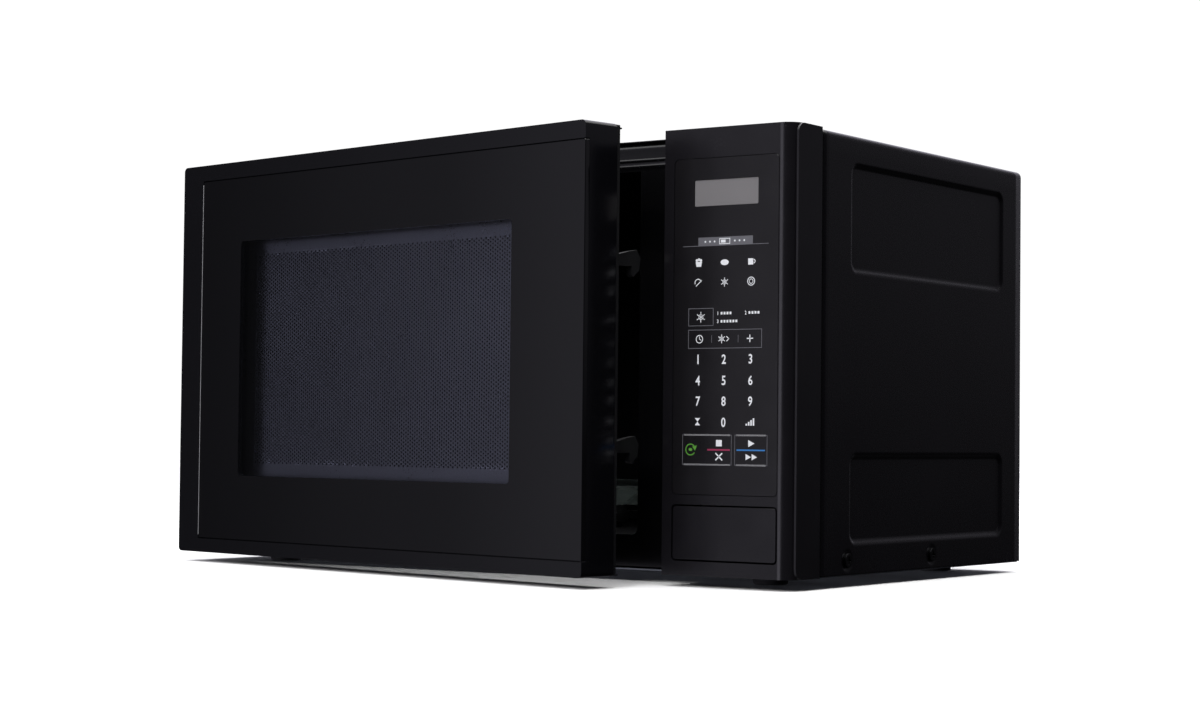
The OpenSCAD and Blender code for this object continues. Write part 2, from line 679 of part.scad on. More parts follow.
// Steel screen, with its edges turned back as a choke
screen_x0 = door_x0 + 20;
screen_x1 = door_x1 - 16;
screen_z0 = 9;
screen_z1 = body_h - 9;

module door_screen() color("#1c1c1f") on_door() difference() {
    plate_y(screen_y, door_t) rr(screen_x0, screen_x1, screen_z0, screen_z1, 4);
    plate_y(screen_y + screen_t, door_t + over)
        rr(screen_x0 + screen_t, screen_x1 - screen_t, screen_z0 + screen_t, screen_z1 - screen_t, 3.2);
    for (p = door_screw_places) rod_y([p[0], screen_y - over, p[1]], 1.8, 4);
}

module window_film() color("#3a3f45") on_door()
    plate_y(screen_y + screen_t, screen_y + screen_t + film_t) rr(win_x0 - 8, win_x1 + 8, window_z - 8, win_z1 + 8, 3);

// Plastic ring over the choke, behind the screen's edges
lip = door_clear - 0.4;
lip_t = 0.8;

module choke_cover() color("#232326") on_door() difference() {
    union() {
        plate_y(door_t, cover_back) rr(door_x0 + cover_inset, door_x1 - 0.5, 0.5, body_h - 0.5, 0.8);
        // lips along the top and the bottom that close the gap to the body
        for (z = [0.5, body_h - 2 - lip_t])
            block(hinge_x + notch_r + 2, door_x1 - 0.5, cover_back - over, cover_back + lip, z, z + lip_t);
    }
    plate_y(door_t - over, cover_back + over) rr(win_x0 - 18, win_x1 + 18, window_z - 16, win_z1 + 16, 6);
    for (s = [0, 1]) translate([0, 0, s * body_h]) mirror([0, 0, s])
        block(door_x0, hinge_x + notch_r, door_t - over, cover_back + over, -over, notch_z + 1);
    for (z = hook_drops)
        plate_y(door_t - over, cover_back + over) rr(hook_x - 3.2, hook_x + 3.2, z + 1, z + hook_h + latch_travel + 2, 1);
}

module door_bushes() color("#e4e4de") on_door()
    for (s = [0, 1]) translate([0, 0, s * body_h]) mirror([0, 0, s]) difference() {
        rod_z([hinge_x, hinge_y, notch_z], bush_r, pin_top + 1 - notch_z);
        rod_z([hinge_x, hinge_y, notch_z - over], pin_r + running, 20);
    }

module door_screws() color("#b4b7ba") on_door() for (p = door_screw_places)
    translate([p[0], screen_y + screen_t, p[1]]) rotate([-90, 0, 0]) screw(3.4, 1.5, door_screw_l);

// Latch key: a bar in the door's free end with a hook at each end
key_y0 = 12;
key_y1 = door_t - 1.5;

module hook(z) {
    base = key_y1 - 3;
    tip = plate_back + hook_reach;
    nose = 7;
    plate_x(hook_x - hook_t / 2, hook_x + hook_t / 2) polygon([
        [base, z + hook_nose + 0.5], [tip - nose, z + hook_nose + 0.5], [tip - nose, z + 1.2],
        [tip - nose + 1.5, z], [tip - 1, z + 4], [tip, z + 10.5],
        [tip - 3, z + hook_h], [tip - nose - 2, z + hook_h - 1], [base, z + hook_h - 6]
    ]);
}

module latch_key() color("#d4d4cf") on_door() {
    block(hook_x - hook_t / 2, hook_x + hook_t / 2, key_y0, key_y1, hook_drops[0] - 6, hook_drops[1] + 14);
    for (z = hook_drops) hook(z);
    rod_z([hook_x, (key_y0 + key_y1) / 2, hook_drops[1] + 13], 1.9, 7);
}

latch_spring_z = hook_drops[1] + 14.1;

module latch_spring() color("#b9bcc0") on_door()
    translate([hook_x, (key_y0 + key_y1) / 2, latch_spring_z])
        coil(2.9, 0.9, body_h - frame_wall - 0.1 - latch_spring_z, 9);

// High-voltage parts in the bay ----------------------------------------------------------

module waveguide() color("#b5b8ba") placed() difference() {
    block(cavity_wall, cavity_wall + guide_d, guide_y - 44, guide_y + 44, guide_z - 24, guide_z + 24);
    block(cavity_wall - over, cavity_wall + guide_d - sheet, guide_y - 44 + sheet, guide_y + 44 - sheet,
        guide_z - 24 + sheet, guide_z + 24 - sheet);
    rod_x([cavity_wall + guide_d - 2, guide_y, guide_z], 14, 4);
}

module waveguide_cover() color("#a98a5c") placed()
    plate_x(cavity_x1 - 0.5, cavity_x1) rr(guide_y - 44, guide_y + 44, guide_z - 24, guide_z + 24, 3);

// Open steel yoke, with the tube and its fins inside
module magnetron() color("#a7aaad") placed() difference() {
    block(mag_x0, mag_x0 + mag_w, guide_y - 44, guide_y + 44, guide_z - 40, guide_z + 40);
    block(mag_x0 + 2, mag_x0 + mag_w - 2, guide_y - 42, guide_y + 42, guide_z - 41, guide_z + 41);
    rod_x([mag_x0 - over, guide_y, guide_z], 13.5, 6);
}

module magnetron_fins() color("#d2a24c") placed() {
    rod_x([cavity_wall + 8, guide_y, guide_z], 10, mag_x0 - cavity_wall - 8 + mag_w - 3);
    rod_x([mag_x0 + 2, guide_y, guide_z], 17, 14);
    rod_x([mag_x0 + mag_w - 16, guide_y, guide_z], 17, 14);
    for (i = [0 : 6]) block(mag_x0 + 19 + 4 * i, mag_x0 + 19.8 + 4 * i, guide_y - 40, guide_y + 40, guide_z - 36, guide_z + 36);
}

core_w = 92;
core_d = 56;
core_h = 76;

module transformer_core() color("#6f7275") placed() difference() {
    union() {
        block(bay_x - core_w / 2, bay_x + core_w / 2, core_y - core_d / 2, core_y + core_d / 2, sheet + 2, core_h);
        block(bay_x - core_w / 2 - 4, bay_x + core_w / 2 + 4, core_y - core_d / 2, core_y + core_d / 2, sheet, sheet + 2);
    }
    for (s = [-1, 1]) block(bay_x + s * 23 - 8, bay_x + s * 23 + 8,
        core_y - core_d, core_y + core_d, 14, core_h - 12);
}

module transformer_coils() color("#b87333") placed() for (z = [[15, 36], [40, core_h - 13]]) difference() {
    block(bay_x - 30, bay_x + 30, core_y - core_d / 2 - 14, core_y + core_d / 2 + 14, z[0], z[1]);
    block(bay_x - 15, bay_x + 15, core_y - core_d / 2, core_y + core_d / 2, z[0] - over, z[1] + over);
}

cap_y = 216;
cap_z = 4;
cap_l = 86;

module capacitor_outline(grow) translate([cap_y, cap_z + 17]) union() {
    square([22, 34 + 2 * grow], center = true);
    for (s = [-1, 1]) translate([s * 11, 0]) circle(17 + grow);
}

module capacitor() color("#c3c6c9") placed() {
    plate_x(bay_x - cap_l / 2, bay_x + cap_l / 2) capacitor_outline(0);
    for (s = [-1, 1]) block(bay_x + cap_l / 2 - 1, bay_x + cap_l / 2 + 8, cap_y + s * 8 - 3, cap_y + s * 8 + 3, cap_z + 16, cap_z + 16.8);
}

module capacitor_clamp() color("#9a9da0") placed() difference() {
    union() {
        plate_x(bay_x - 8, bay_x + 8) capacitor_outline(1.2);
        for (s = [-1, 1]) translate([bay_x - 8, cap_y + s * 34.1 - 6, sheet]) cube([16, 12, 1.2]);
        for (s = [-1, 1]) translate([bay_x - 8, cap_y + s * 28.7 - 0.6, sheet]) cube([16, 1.2, cap_z + 16 - sheet]);
    }
    plate_x(bay_x - 9, bay_x + 9) capacitor_outline(0);
    block(bay_x - 9, bay_x + 9, cap_y - 28.1, cap_y + 28.1, 0, cap_z + 4);
    for (s = [-1, 1]) rod_z([bay_x, cap_y + s * 35, 0], 2, 6);
}

module diode() color("#2a2a2c") placed() {
    rod_x([bay_x - 34, cap_y + 12, cap_z + 38], 3.4, 20);
    rod_x([bay_x - 44, cap_y + 12, cap_z + 38], 0.9, 40);
    block(bay_x - 6, bay_x + 2, cap_y + 8, cap_y + 16, cap_z + 37.4, cap_z + 38.6);
}

module filter_board() color("#2e6b3f") placed() {
    z = body_h - 28;
    block(bay_x - 36, bay_x + 36, 60, 116, z, z + 1.6);
    rod_z([bay_x - 18, 82, z + 1.5], 11, 11);
    block(bay_x + 4, bay_x + 28, 68, 80, z + 1.5, z + 15);
    block(bay_x + 4, bay_x + 32, 92, 98, z + 1.5, z + 10);
    for (x = [bay_x - 32, bay_x + 32]) block(x - 3, x + 3, 104, 112, z - 9, z);
}

module fan_shroud() color("#2a2a2d") placed() difference() {
    union() {
        block(fan_x - 52, fan_x + 52, fan_y, fan_y + 2, fan_z - 52, fan_z + 52);
        rod_y([fan_x, fan_y, fan_z], fan_r + 2.5, 20);
    }
    rod_y([fan_x, fan_y - over, fan_z], fan_r + 0.8, 30);
}

// Shaded-pole motor in front of the fan, on a bridge across the shroud
module fan_motor() color("#85888b") placed() difference() {
    union() {
        block(fan_x - 24, fan_x + 24, fan_y - 26, fan_y - 10, fan_z - 22, fan_z + 22);
        block(fan_x - 15, fan_x + 15, fan_y - 32, fan_y - 4, fan_z - 40, fan_z - 20);
        rod_y([fan_x, fan_y - 30, fan_z], 10, 26);
        for (s = [-1, 1]) block(fan_x + s * 46 - 4, fan_x + s * 46 + 4, fan_y - 18, fan_y, fan_z - 4, fan_z + 4);
        block(fan_x - 50, fan_x + 50, fan_y - 18, fan_y - 16, fan_z - 6, fan_z + 6);
    }
    rod_y([fan_x, fan_y - 40, fan_z], 1.6 + running, 50);
}

module fan_shaft() color("#c9ccd0") placed()
    rod_y([fan_x, fan_y - 32, fan_z], 1.6, 46);

blade_n = 5;

module fan_blade() color("#3b3b3f") placed() translate([fan_x, fan_y + 8, fan_z]) rotate([-90, 0, 0]) difference() {
    union() {
        translate([0, 0, -5]) cylinder(h = 12, r = 11);
        for (i = [0 : blade_n - 1]) rotate(i * 360 / blade_n) intersection() {
            translate([9, 0, 1]) rotate([28, 0, 0]) translate([0, -15, -0.6]) cube([40, 30, 1.2]);
            cylinder(h = 30, r = fan_r - 1, center = true);
            translate([0, -20, -5]) cube([60, 40, 12]);
        }
    }
    translate([0, 0, -20]) cylinder(h = 40, r = 1.6);
}

// Channel that leads the magnetron's cooling air to the holes in the cavity's wall
duct_l = 28;

module air_duct() color("#2a2a2d") placed() {
    y1 = guide_y - 44;
    z0 = guide_z - 40;
    z1 = guide_z + 40;
    difference() {
        block(cavity_wall, mag_x0 + mag_w, y1 - duct_l, y1, z0, z1);
        block(cavity_wall - over, mag_x0 + mag_w - 1.5, y1 - duct_l + 1.5, y1 + over, z0 + 1.5, z1 - 1.5);
    }
}

module lamp_holder() color("#e2e0d6") placed()
    block(cavity_wall, cavity_wall + 12, lamp_y - 52, lamp_y - 24, lamp_z - 10, lamp_z + 10);

module oven_lamp() color("#f2ead2") placed() {
    rod_y([cavity_wall + 11, lamp_y - 24, lamp_z], 4, 3);
    translate([cavity_wall + 11, lamp_y - 13, lamp_z]) sphere(8);
    rod_y([cavity_wall + 11, lamp_y - 22, lamp_z], 5, 4);
}

module thermal_cutouts() color("#d8d0b8") placed() {
    for (p = [[cavity_wall, 92, 150], [cavity_wall, 82, cavity_z1 - 16]]) {
        rod_x(p, 8, 8);
        for (s = [-1, 1]) block(p[0] + 8, p[0] + 15, p[1] + s * 4 - 2.5, p[1] + s * 4 + 2.5, p[2] - 0.4, p[2] + 0.4);
    }
}

// Turntable ----------------------------------------------------------------------------

motor_z = cavity_z - sheet - motor_h - 0.2;

module turntable_motor() color("#b5b8ba") placed() difference() {
    union() {
        rod_z([spin_x, spin_y, motor_z], motor_d / 2, motor_h);
        block(spin_x - 34, spin_x + 34, spin_y - 6, spin_y + 6, motor_z + motor_h - 1, motor_z + motor_h);
        block(spin_x + motor_d / 2 - 4, spin_x + motor_d / 2 + 10, spin_y - 9, spin_y + 9, motor_z + 2, motor_z + 10);
    }
    rod_z([spin_x, spin_y, motor_z + 3], shaft_r + running, motor_h);
    for (s = [-1, 1]) rod_z([spin_x + s * 30, spin_y, motor_z], 2, 20);
}

// Shaft with a flat on its upper end, which drives the coupler
shaft_flat = 1;
shaft_end = cavity_z + 10;
flat_z = cavity_z + 2;

module shaft_profile() difference() {
    circle(shaft_r);
    translate([shaft_r - shaft_flat, -shaft_r]) square(2 * shaft_r);
}

module turntable_shaft() color("#c9ccd0") placed() translate([spin_x, spin_y, 0]) {
    rod_z([0, 0, motor_z + 3.2], shaft_r, flat_z - motor_z - 3.2);
    plate_z(flat_z - 0.5, shaft_end) shaft_profile();
}

lug_r = 18;
lug_h = 3.4;
arm_w = 7;
arm_l = 22;

module turntable_coupler() color("#e8e6dc") placed() translate([spin_x, spin_y, 0]) difference() {
    union() {
        rod_z([0, 0, cavity_z + 1], hub_r, tray_z - cavity_z - 1.3);
        for (i = [0 : 2]) rotate(120 * i)
            translate([0, -arm_w / 2, tray_z - 6.3]) cube([arm_l, arm_w, 5]);
    }
    plate_z(cavity_z - over, flat_z) circle(shaft_r);
    plate_z(flat_z - 0.5, shaft_end) shaft_profile();
}

// Pressed glass: flat floor, raised rim, and six drive lugs underneath between the coupler's arms
module glass_tray() color("#cfe0e4") placed() translate([spin_x, spin_y, tray_z]) union() {
    rotate_extrude($fn = 96) polygon([
        [0, 0], [tray_d / 2 - 16, 0], [tray_d / 2 - 2, tray_rim - 5], [tray_d / 2, tray_rim - 2],
        [tray_d / 2 - 1, tray_rim], [tray_d / 2 - 3.5, tray_rim - 0.5],
        [tray_d / 2 - 17, tray_t], [0, tray_t]
    ]);
    for (i = [0 : 2], s = [-1, 1]) rotate(120 * i + s * 22) translate([lug_r, 0, -lug_h]) cylinder(h = lug_h + over, r = 2.6);
}

ring_r0 = roller_track - 16;
ring_h = 5;
ring_z = cavity_z + roller_r - ring_h / 2;
roller_w = 7;
axle_r = 2;

module roller_ring() color("#e0ded4") placed() translate([spin_x, spin_y, 0]) {
    difference() {
        rod_z([0, 0, ring_z], ring_r0 + 5, ring_h);
        rod_z([0, 0, ring_z - over], ring_r0 - 5, ring_h + 2 * over);
    }
    for (i = [0 : 2]) rotate(120 * i + 90) {
        rod_x([ring_r0, 0, cavity_z + roller_r], axle_r, roller_track - ring_r0 + roller_w / 2 + 2);
        rod_x([ring_r0 + 4, 0, cavity_z + roller_r], axle_r + 1.5, roller_track - roller_w / 2 - touch - ring_r0 - 4);
        rod_x([roller_track + roller_w / 2 + touch, 0, cavity_z + roller_r], axle_r + 1.5, 2);
    }
}

module roller(i) color("#efede4") placed() translate([spin_x, spin_y, cavity_z + roller_r]) rotate(120 * i + 90)
    difference() {
        rod_x([roller_track - roller_w / 2, 0, 0], roller_r - tray_gap, roller_w);
        rod_x([roller_track - roller_w, 0, 0], axle_r + running, 2 * roller_w);
    }

// One line for each piece --------------------------------------------------------------

front_plate();
front_rail();
base_plate();
rear_panel();
rear_bulge();
cabinet_wrap();
oven_cavity();
feet();
cabinet_screws();
hinge_brackets();
cord_gland();
control_housing();
keypad();
display_window();
display_module();
control_board();
board_parts();
open_button();
button_spring();
release_lever();
latch_board();
interlock_switches();
door_frame();
door_glass();
door_screen();
window_film();
choke_cover();
door_bushes();
door_screws();
latch_key();
latch_spring();
waveguide();
waveguide_cover();
magnetron();
magnetron_fins();
transformer_core();
transformer_coils();
capacitor();
capacitor_clamp();
diode();
filter_board();
fan_motor();
fan_shroud();
fan_blade();
fan_shaft();
air_duct();
lamp_holder();
oven_lamp();
thermal_cutouts();
turntable_motor();
turntable_shaft();
turntable_coupler();
glass_tray();
roller_ring();
roller(0);  // roller_1
roller(1);  // roller_2
roller(2);  // roller_3
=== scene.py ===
"""Compact countertop microwave oven with its door ajar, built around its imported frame."""

import json
import math

import bmesh
import bpy
from bpy.props import FloatProperty, FloatVectorProperty, PointerProperty
from bpy.types import Operator, Panel, PropertyGroup
from mathutils import Matrix, Vector


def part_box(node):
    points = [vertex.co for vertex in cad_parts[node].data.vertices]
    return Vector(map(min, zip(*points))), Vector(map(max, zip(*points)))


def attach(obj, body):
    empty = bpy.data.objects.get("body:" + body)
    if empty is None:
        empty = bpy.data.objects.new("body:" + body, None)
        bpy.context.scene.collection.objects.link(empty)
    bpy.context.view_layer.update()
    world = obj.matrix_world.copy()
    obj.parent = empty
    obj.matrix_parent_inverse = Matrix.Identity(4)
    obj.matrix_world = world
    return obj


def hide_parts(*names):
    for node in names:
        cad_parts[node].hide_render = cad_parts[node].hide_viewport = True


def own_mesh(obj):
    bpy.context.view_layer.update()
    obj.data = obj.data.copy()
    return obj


bl_info = {
    "name": "Microwave oven",
    "version": (1, 0, 0),
    "blender": (4, 5, 0),
    "location": "3D View > Sidebar > Oven",
    "description": "Builds the shown pieces of a countertop microwave oven",
    "category": "Add Mesh",
}

MM = 0.001
# How far the window film reaches behind the glass's printed border
FILM_LAP = 8 * MM
# Air between the film and what lies in front of and behind it
FILM_AIR = 0.05 * MM
# The digits' added weight and their width, as shares of the built-in font's
DIGIT_WEIGHT = 0.018
DIGIT_WIDTH = 0.82

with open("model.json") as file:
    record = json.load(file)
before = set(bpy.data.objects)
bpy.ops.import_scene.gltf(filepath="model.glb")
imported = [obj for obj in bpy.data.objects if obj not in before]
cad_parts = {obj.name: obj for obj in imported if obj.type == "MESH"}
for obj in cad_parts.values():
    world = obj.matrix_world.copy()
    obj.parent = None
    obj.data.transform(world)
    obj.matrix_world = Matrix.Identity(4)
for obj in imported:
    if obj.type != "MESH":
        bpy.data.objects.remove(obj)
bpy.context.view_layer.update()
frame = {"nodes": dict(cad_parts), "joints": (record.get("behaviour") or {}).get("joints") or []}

# The door's hinge line, and the turn that takes the closed door to where it stands
HINGE = next(j for j in frame["joints"] if j["name"] == "door_hinge")
HINGE_AT = Vector(HINGE["pos_m"])
DOOR_TURN = (
    Matrix.Translation(HINGE_AT)
    @ Matrix.Rotation(math.radians(HINGE["range_deg"][0]), 4, "Z")
    @ Matrix.Translation(-HINGE_AT)
)


def linear(code, alpha=1.0):
    """An sRGB hex colour as linear values."""
    parts = [int(code[i : i + 2], 16) / 255 for i in (1, 3, 5)]
    return tuple(c / 12.92 if c <= 0.04045 else ((c + 0.055) / 1.055) ** 2.4 for c in parts) + (alpha,)


def add(tree, kind, inputs=None, **settings):
    """Adds a node: settings are its own, inputs are values or the sockets that feed it."""
    node = tree.nodes.new(kind)
    for key, value in settings.items():
        setattr(node, key, value)
    for key, value in (inputs or {}).items():
        if isinstance(value, bpy.types.NodeSocket):
            tree.links.new(value, node.inputs[key])
        else:
            node.inputs[key].default_value = value
    return node


# Materials ----------------------------------------------------------------------------


def surface(name, code, roughness, grain=1.5, relief=0.01, mottle=0.12, polish=0.05,
            pattern="peel", second=None, **shader):
    """A finish whose colour, gloss and relief vary over a pattern with a real size in millimetres."""
    material = bpy.data.materials.get(name)
    if material:
        return material
    material = bpy.data.materials.new(name)
    material.use_nodes = True
    tree = material.node_tree
    tree.nodes.clear()
    place = add(tree, "ShaderNodeTexCoord").outputs["Object"]
    scale = 1 / (grain * MM)
    if pattern == "bands":
        field = add(tree, "ShaderNodeTexWave", {"Vector": place, "Scale": scale / 20, "Distortion": 0.6,
                                                "Detail": 2.0, "Detail Scale": 3.0},
                    bands_direction="Z").outputs["Fac"]
    elif pattern == "spangle":
        field = add(tree, "ShaderNodeTexVoronoi", {"Vector": place, "Scale": scale},
                    feature="F1").outputs["Color"]
        field = add(tree, "ShaderNodeSeparateColor", {"Color": field}).outputs["Red"]
    elif pattern == "brushed":
        stretched = add(tree, "ShaderNodeMapping", {"Vector": place, "Scale": (0.04, 1.0, 1.0)}).outputs["Vector"]
        field = add(tree, "ShaderNodeTexNoise", {"Vector": stretched, "Scale": scale, "Detail": 4.0}).outputs["Fac"]
    else:
        field = add(tree, "ShaderNodeTexNoise", {"Vector": place, "Scale": scale, "Detail": 3.0,
                                                 "Roughness": 0.55}).outputs["Fac"]
    drift = add(tree, "ShaderNodeTexNoise", {"Vector": place, "Scale": scale / 40, "Detail": 2.0}).outputs["Fac"]
    blend = add(tree, "ShaderNodeMath", {0: field, 1: drift}, operation="ADD").outputs[0]
    tone = add(tree, "ShaderNodeMapRange", {"Value": blend, "From Min": 0.6, "From Max": 1.4,
                                            "To Min": 1 - mottle, "To Max": 1 + mottle}).outputs["Result"]
    if second:
        base = add(tree, "ShaderNodeMix", {0: field, 6: linear(code), 7: linear(second)},
                   data_type="RGBA").outputs[2]
        colour = add(tree, "ShaderNodeVectorMath", {0: base, "Scale": tone}, operation="SCALE").outputs[0]
    else:
        colour = add(tree, "ShaderNodeVectorMath", {0: linear(code)[:3], "Scale": tone},
                     operation="SCALE").outputs[0]
    gloss = add(tree, "ShaderNodeMapRange", {"Value": blend, "From Min": 0.6, "From Max": 1.4,
                                             "To Min": max(roughness - polish, 0.0),
                                             "To Max": roughness + polish}).outputs["Result"]
    bump = add(tree, "ShaderNodeBump", {"Height": field, "Strength": 0.6, "Distance": relief * MM}).outputs["Normal"]
    inputs = {"Base Color": colour, "Roughness": gloss, "Normal": bump}
    inputs.update({key.replace("_", " ").title().replace("Ior", "IOR"): value for key, value in shader.items()})
    shade = add(tree, "ShaderNodeBsdfPrincipled", inputs).outputs["BSDF"]
    add(tree, "ShaderNodeOutputMaterial", {"Surface": shade})
    return material


def make_finishes():
    """Every finish of the oven, by the name of its material slot or piece."""
    look = bpy.context.scene.oven_finishes
    charcoal = hexed(look.charcoal)
    return {
        # Powder-coated sheet: satin black with a fine orange peel, about 1.5 mm across
        "powder_coat": surface("satin_black_powder_coat", hexed(look.cabinet), 0.27, 1.6, 0.02, 0.08, 0.04),
        # Stoved enamel on the front plate: darker and glossier than the cabinet
        "stove_enamel": surface("gloss_black_stove_enamel", "#060607", 0.14, 3.0, 0.01, 0.1, 0.04),
        # Injection-moulded ABS with a spark-eroded tool texture
        "moulded_abs": surface("charcoal_moulded_abs", charcoal, 0.24, 0.6, 0.008, 0.08, 0.04),
        # The same resin from a polished tool, for the door's frame
        "polished_abs": surface("black_polished_abs", hexed(look.door), 0.13, 2.5, 0.004, 0.08, 0.03),
        # Back-printed float glass: deep black under a mirror-flat face
        "printed_glass": surface("black_printed_glass", "#08080a", 0.035, 60.0, 0.004, 0.05, 0.01, ior=1.52),
        # Grey float glass in the window, which shows the screen behind it
        "smoked_glass": surface("smoked_window_glass", "#0b0c0f", 0.035, 60.0, 0.004, 0.05, 0.01,
                                ior=1.52, alpha=0.15, specular_ior_level=1.0),
        # Perforated steel under blue-black paint
        "screen_paint": surface("blue_grey_screen_paint", "#9599aa", 0.30, 1.2, 0.006, 0.08, 0.04, metallic=1.0),
        # Hard-coated polyester with its print on the back
        "film": surface("hard_coated_polyester", hexed(look.keypad), 0.24, 0.5, 0.004, 0.06, 0.04),
        "lens": surface("grey_display_lens", hexed(look.display), 0.30, 20.0, 0.002, 0.03, 0.03),
        "clear_film": surface("grey_polyester_film", "#6a6d78", 0.30, 20.0, 0.01, 0.05, 0.05, alpha=0.5, metallic=0.9),
        # Natural acetal: milky white and waxy
        "acetal": surface("natural_acetal", "#d9d6cc", 0.42, 3.0, 0.01, 0.05, 0.06, subsurface_weight=0.05),
        "black_acetal": surface("black_polypropylene", "#141416", 0.45, 1.0, 0.02, 0.1, 0.06),
        # Nitrile rubber: dull, with a dusty bloom
        "rubber": surface("black_nitrile_rubber", "#18181a", 0.72, 1.2, 0.03, 0.2, 0.08),
        # Hot-dip galvanised sheet: grey spangle about 7 mm across
        "galvanised": surface("galvanised_sheet", "#9aa0a4", 0.42, 6.0, 0.002, 0.04, 0.03, "spangle", metallic=1.0),
        "zinc": surface("bright_zinc_plate", "#b4b6b4", 0.33, 2.0, 0.006, 0.08, 0.06, metallic=1.0),
        "black_zinc": surface("black_zinc_plate", "#2b2b2d", 0.38, 2.0, 0.006, 0.1, 0.06, metallic=1.0),
        "spring": surface("drawn_spring_wire", "#a9acb0", 0.26, 0.6, 0.006, 0.08, 0.05, "brushed", metallic=1.0),
        "aluminium": surface("drawn_aluminium", "#c2c5c8", 0.30, 0.5, 0.008, 0.06, 0.07, "brushed", metallic=1.0),
        # Charcoal baked enamel of the cavity, with a faint fleck; the charcoal is partly the enamel's colour and
        # partly painted shade, darkened so that the unlit cavity seen through the door gap stays black
        "cavity_enamel_and_shade": surface("charcoal_enamel_and_painted_shade", "#1b1b1d", 0.34, 1.8, 0.01, 0.15, 0.06),
        # Lacquered winding: rows of 0.8 mm copper wire, drawn 2 mm apart so that they show
        "winding": surface("lacquered_copper_winding", "#7c4318", 0.30, 2.0, 0.3, 0.15, 0.08, "bands",
                           second="#c9803f", metallic=0.8),
        # Silicon-steel laminations, 0.5 mm thick, drawn at 1.5 mm
        "lamination": surface("varnished_laminations", "#2e3032", 0.45, 1.5, 0.15, 0.15, 0.08, "bands",
                              second="#63666a", metallic=0.6),
        "mica": surface("pressed_mica_sheet", "#8a6f4c", 0.48, 4.0, 0.02, 0.2, 0.1, "spangle", second="#a88a60"),
        "board": surface("green_solder_mask", "#1f5a34", 0.35, 6.0, 0.01, 0.15, 0.08, second="#2c7044"),
        "amber": surface("moulded_phenolic", "#a67c3a", 0.40, 2.0, 0.01, 0.12, 0.06),
        "ceramic": surface("glazed_steatite", "#e0dac8", 0.24, 5.0, 0.01, 0.05, 0.05),
        "lamp": surface("clear_lamp_glass", "#f6efdc", 0.08, 10.0, 0.004, 0.02, 0.02, alpha=0.5),
        # Pressed soda glass: clear with a green edge and slow ripples from the mould
        "tray_glass": surface("pressed_soda_glass", "#e6f2ee", 0.05, 14.0, 0.12, 0.03, 0.03,
                              ior=1.5, transmission_weight=0.92),
        # Screen-printed inks stand a few hundredths of a millimetre proud and are matt
        "white_ink": surface("white_screen_ink", "#d9dbde", 0.55, 0.4, 0.004, 0.04, 0.05),
        "grey_ink": surface("grey_screen_ink", "#5a5a5f", 0.55, 0.4, 0.004, 0.06, 0.05),
        # silver ink also paints the highlight along the front glass's hinge-side edge
        "silver_ink_and_edge_highlight": surface("silver_ink_and_painted_highlight", "#b9b9bb", 0.40, 0.4, 0.004, 0.1, 0.05, metallic=0.4),
        "green_ink": surface("green_screen_ink", "#4e8a2e", 0.55, 0.4, 0.004, 0.06, 0.05),
        "crimson_ink": surface("crimson_screen_ink", "#8e2a4c", 0.55, 0.4, 0.004, 0.06, 0.05),
        "blue_ink": surface("blue_screen_ink", "#2f6fae", 0.55, 0.4, 0.004, 0.06, 0.05),
    }


def hexed(colour):
    """A colour property as an sRGB hex code."""
    parts = [c * 12.92 if c <= 0.0031308 else 1.055 * c ** (1 / 2.4) - 0.055 for c in colour]
    return "#" + "".join(f"{round(255 * min(max(c, 0), 1)):02x}" for c in parts)


# Shapes -------------------------------------------------------------------------------


def piece(name, mesh, body, material, replaces=(), turn=None):
    """Puts a mesh in the scene as one piece of the oven."""
    if turn:
        mesh.transform(turn)
    obj = bpy.data.objects.new(name, mesh)
    bpy.context.scene.collection.objects.link(obj)
    mesh.materials.clear()
    mesh.materials.append(material)
    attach(obj, body)
    if replaces:
        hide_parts(*replaces)
    return obj


def smooth(mesh, angle=32):
    mesh.polygons.foreach_set("use_smooth", [True] * len(mesh.polygons))
    mesh.set_sharp_from_angle(angle=math.radians(angle))


def eased(node, name, body, material, width, segments=2, angle=32):
    """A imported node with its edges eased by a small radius, as a mould or a press leaves them."""
    bm = bmesh.new()
    bm.from_mesh(frame["nodes"][node].data)
    bmesh.ops.remove_doubles(bm, verts=bm.verts, dist=2e-6)
    bmesh.ops.dissolve_limit(bm, angle_limit=math.radians(0.8), verts=bm.verts, edges=bm.edges)
    mesh = bpy.data.meshes.new(name)
    bm.to_mesh(mesh)
    bm.free()
    for layer in list(mesh.uv_layers):
        mesh.uv_layers.remove(layer)
    smooth(mesh, angle)
    obj = piece(name, mesh, body, material, [node])
    edge = obj.modifiers.new("eased_edges", "BEVEL")
    edge.width = width * MM
    edge.segments = segments
    edge.limit_method = "ANGLE"
    edge.angle_limit = math.radians(angle)
    edge.harden_normals = True
    edge.use_clamp_overlap = True
    return obj


def loop(x0, x1, z0, z1, r, y, steps=6):
    """Points round an upright rectangle with rounded corners, at depth y."""
    points = []
    for cx, cz, start in ((x1 - r, z0 + r, -90), (x1 - r, z1 - r, 0), (x0 + r, z1 - r, 90), (x0 + r, z0 + r, 180)):
        for i in range(steps + 1):
            a = math.radians(start + 90 * i / steps)
            points.append((cx + r * math.cos(a), y, cz + r * math.sin(a)))
    return points


def loft(name, loops, caps=False):
    """A mesh skinned over loops with equal numbers of points: a ring, or a closed slab with caps."""
    count = len(loops[0])
    points = [p for ring in loops for p in ring]
    spans = len(loops) - 1 if caps else len(loops)
    faces = []
    for i in range(spans):
        a, b = i * count, ((i + 1) % len(loops)) * count
        faces += [(a + k, a + (k + 1) % count, b + (k + 1) % count, b + k) for k in range(count)]
    if caps:
        faces += [tuple(range(count))[::-1], tuple(range(spans * count, (spans + 1) * count))]
    mesh = bpy.data.meshes.new(name)
    mesh.from_pydata(points, [], faces)
    bm = bmesh.new()
    bm.from_mesh(mesh)
    bmesh.ops.recalc_face_normals(bm, faces=bm.faces)
    bm.to_mesh(mesh)
    bm.free()
    smooth(mesh)
    return mesh


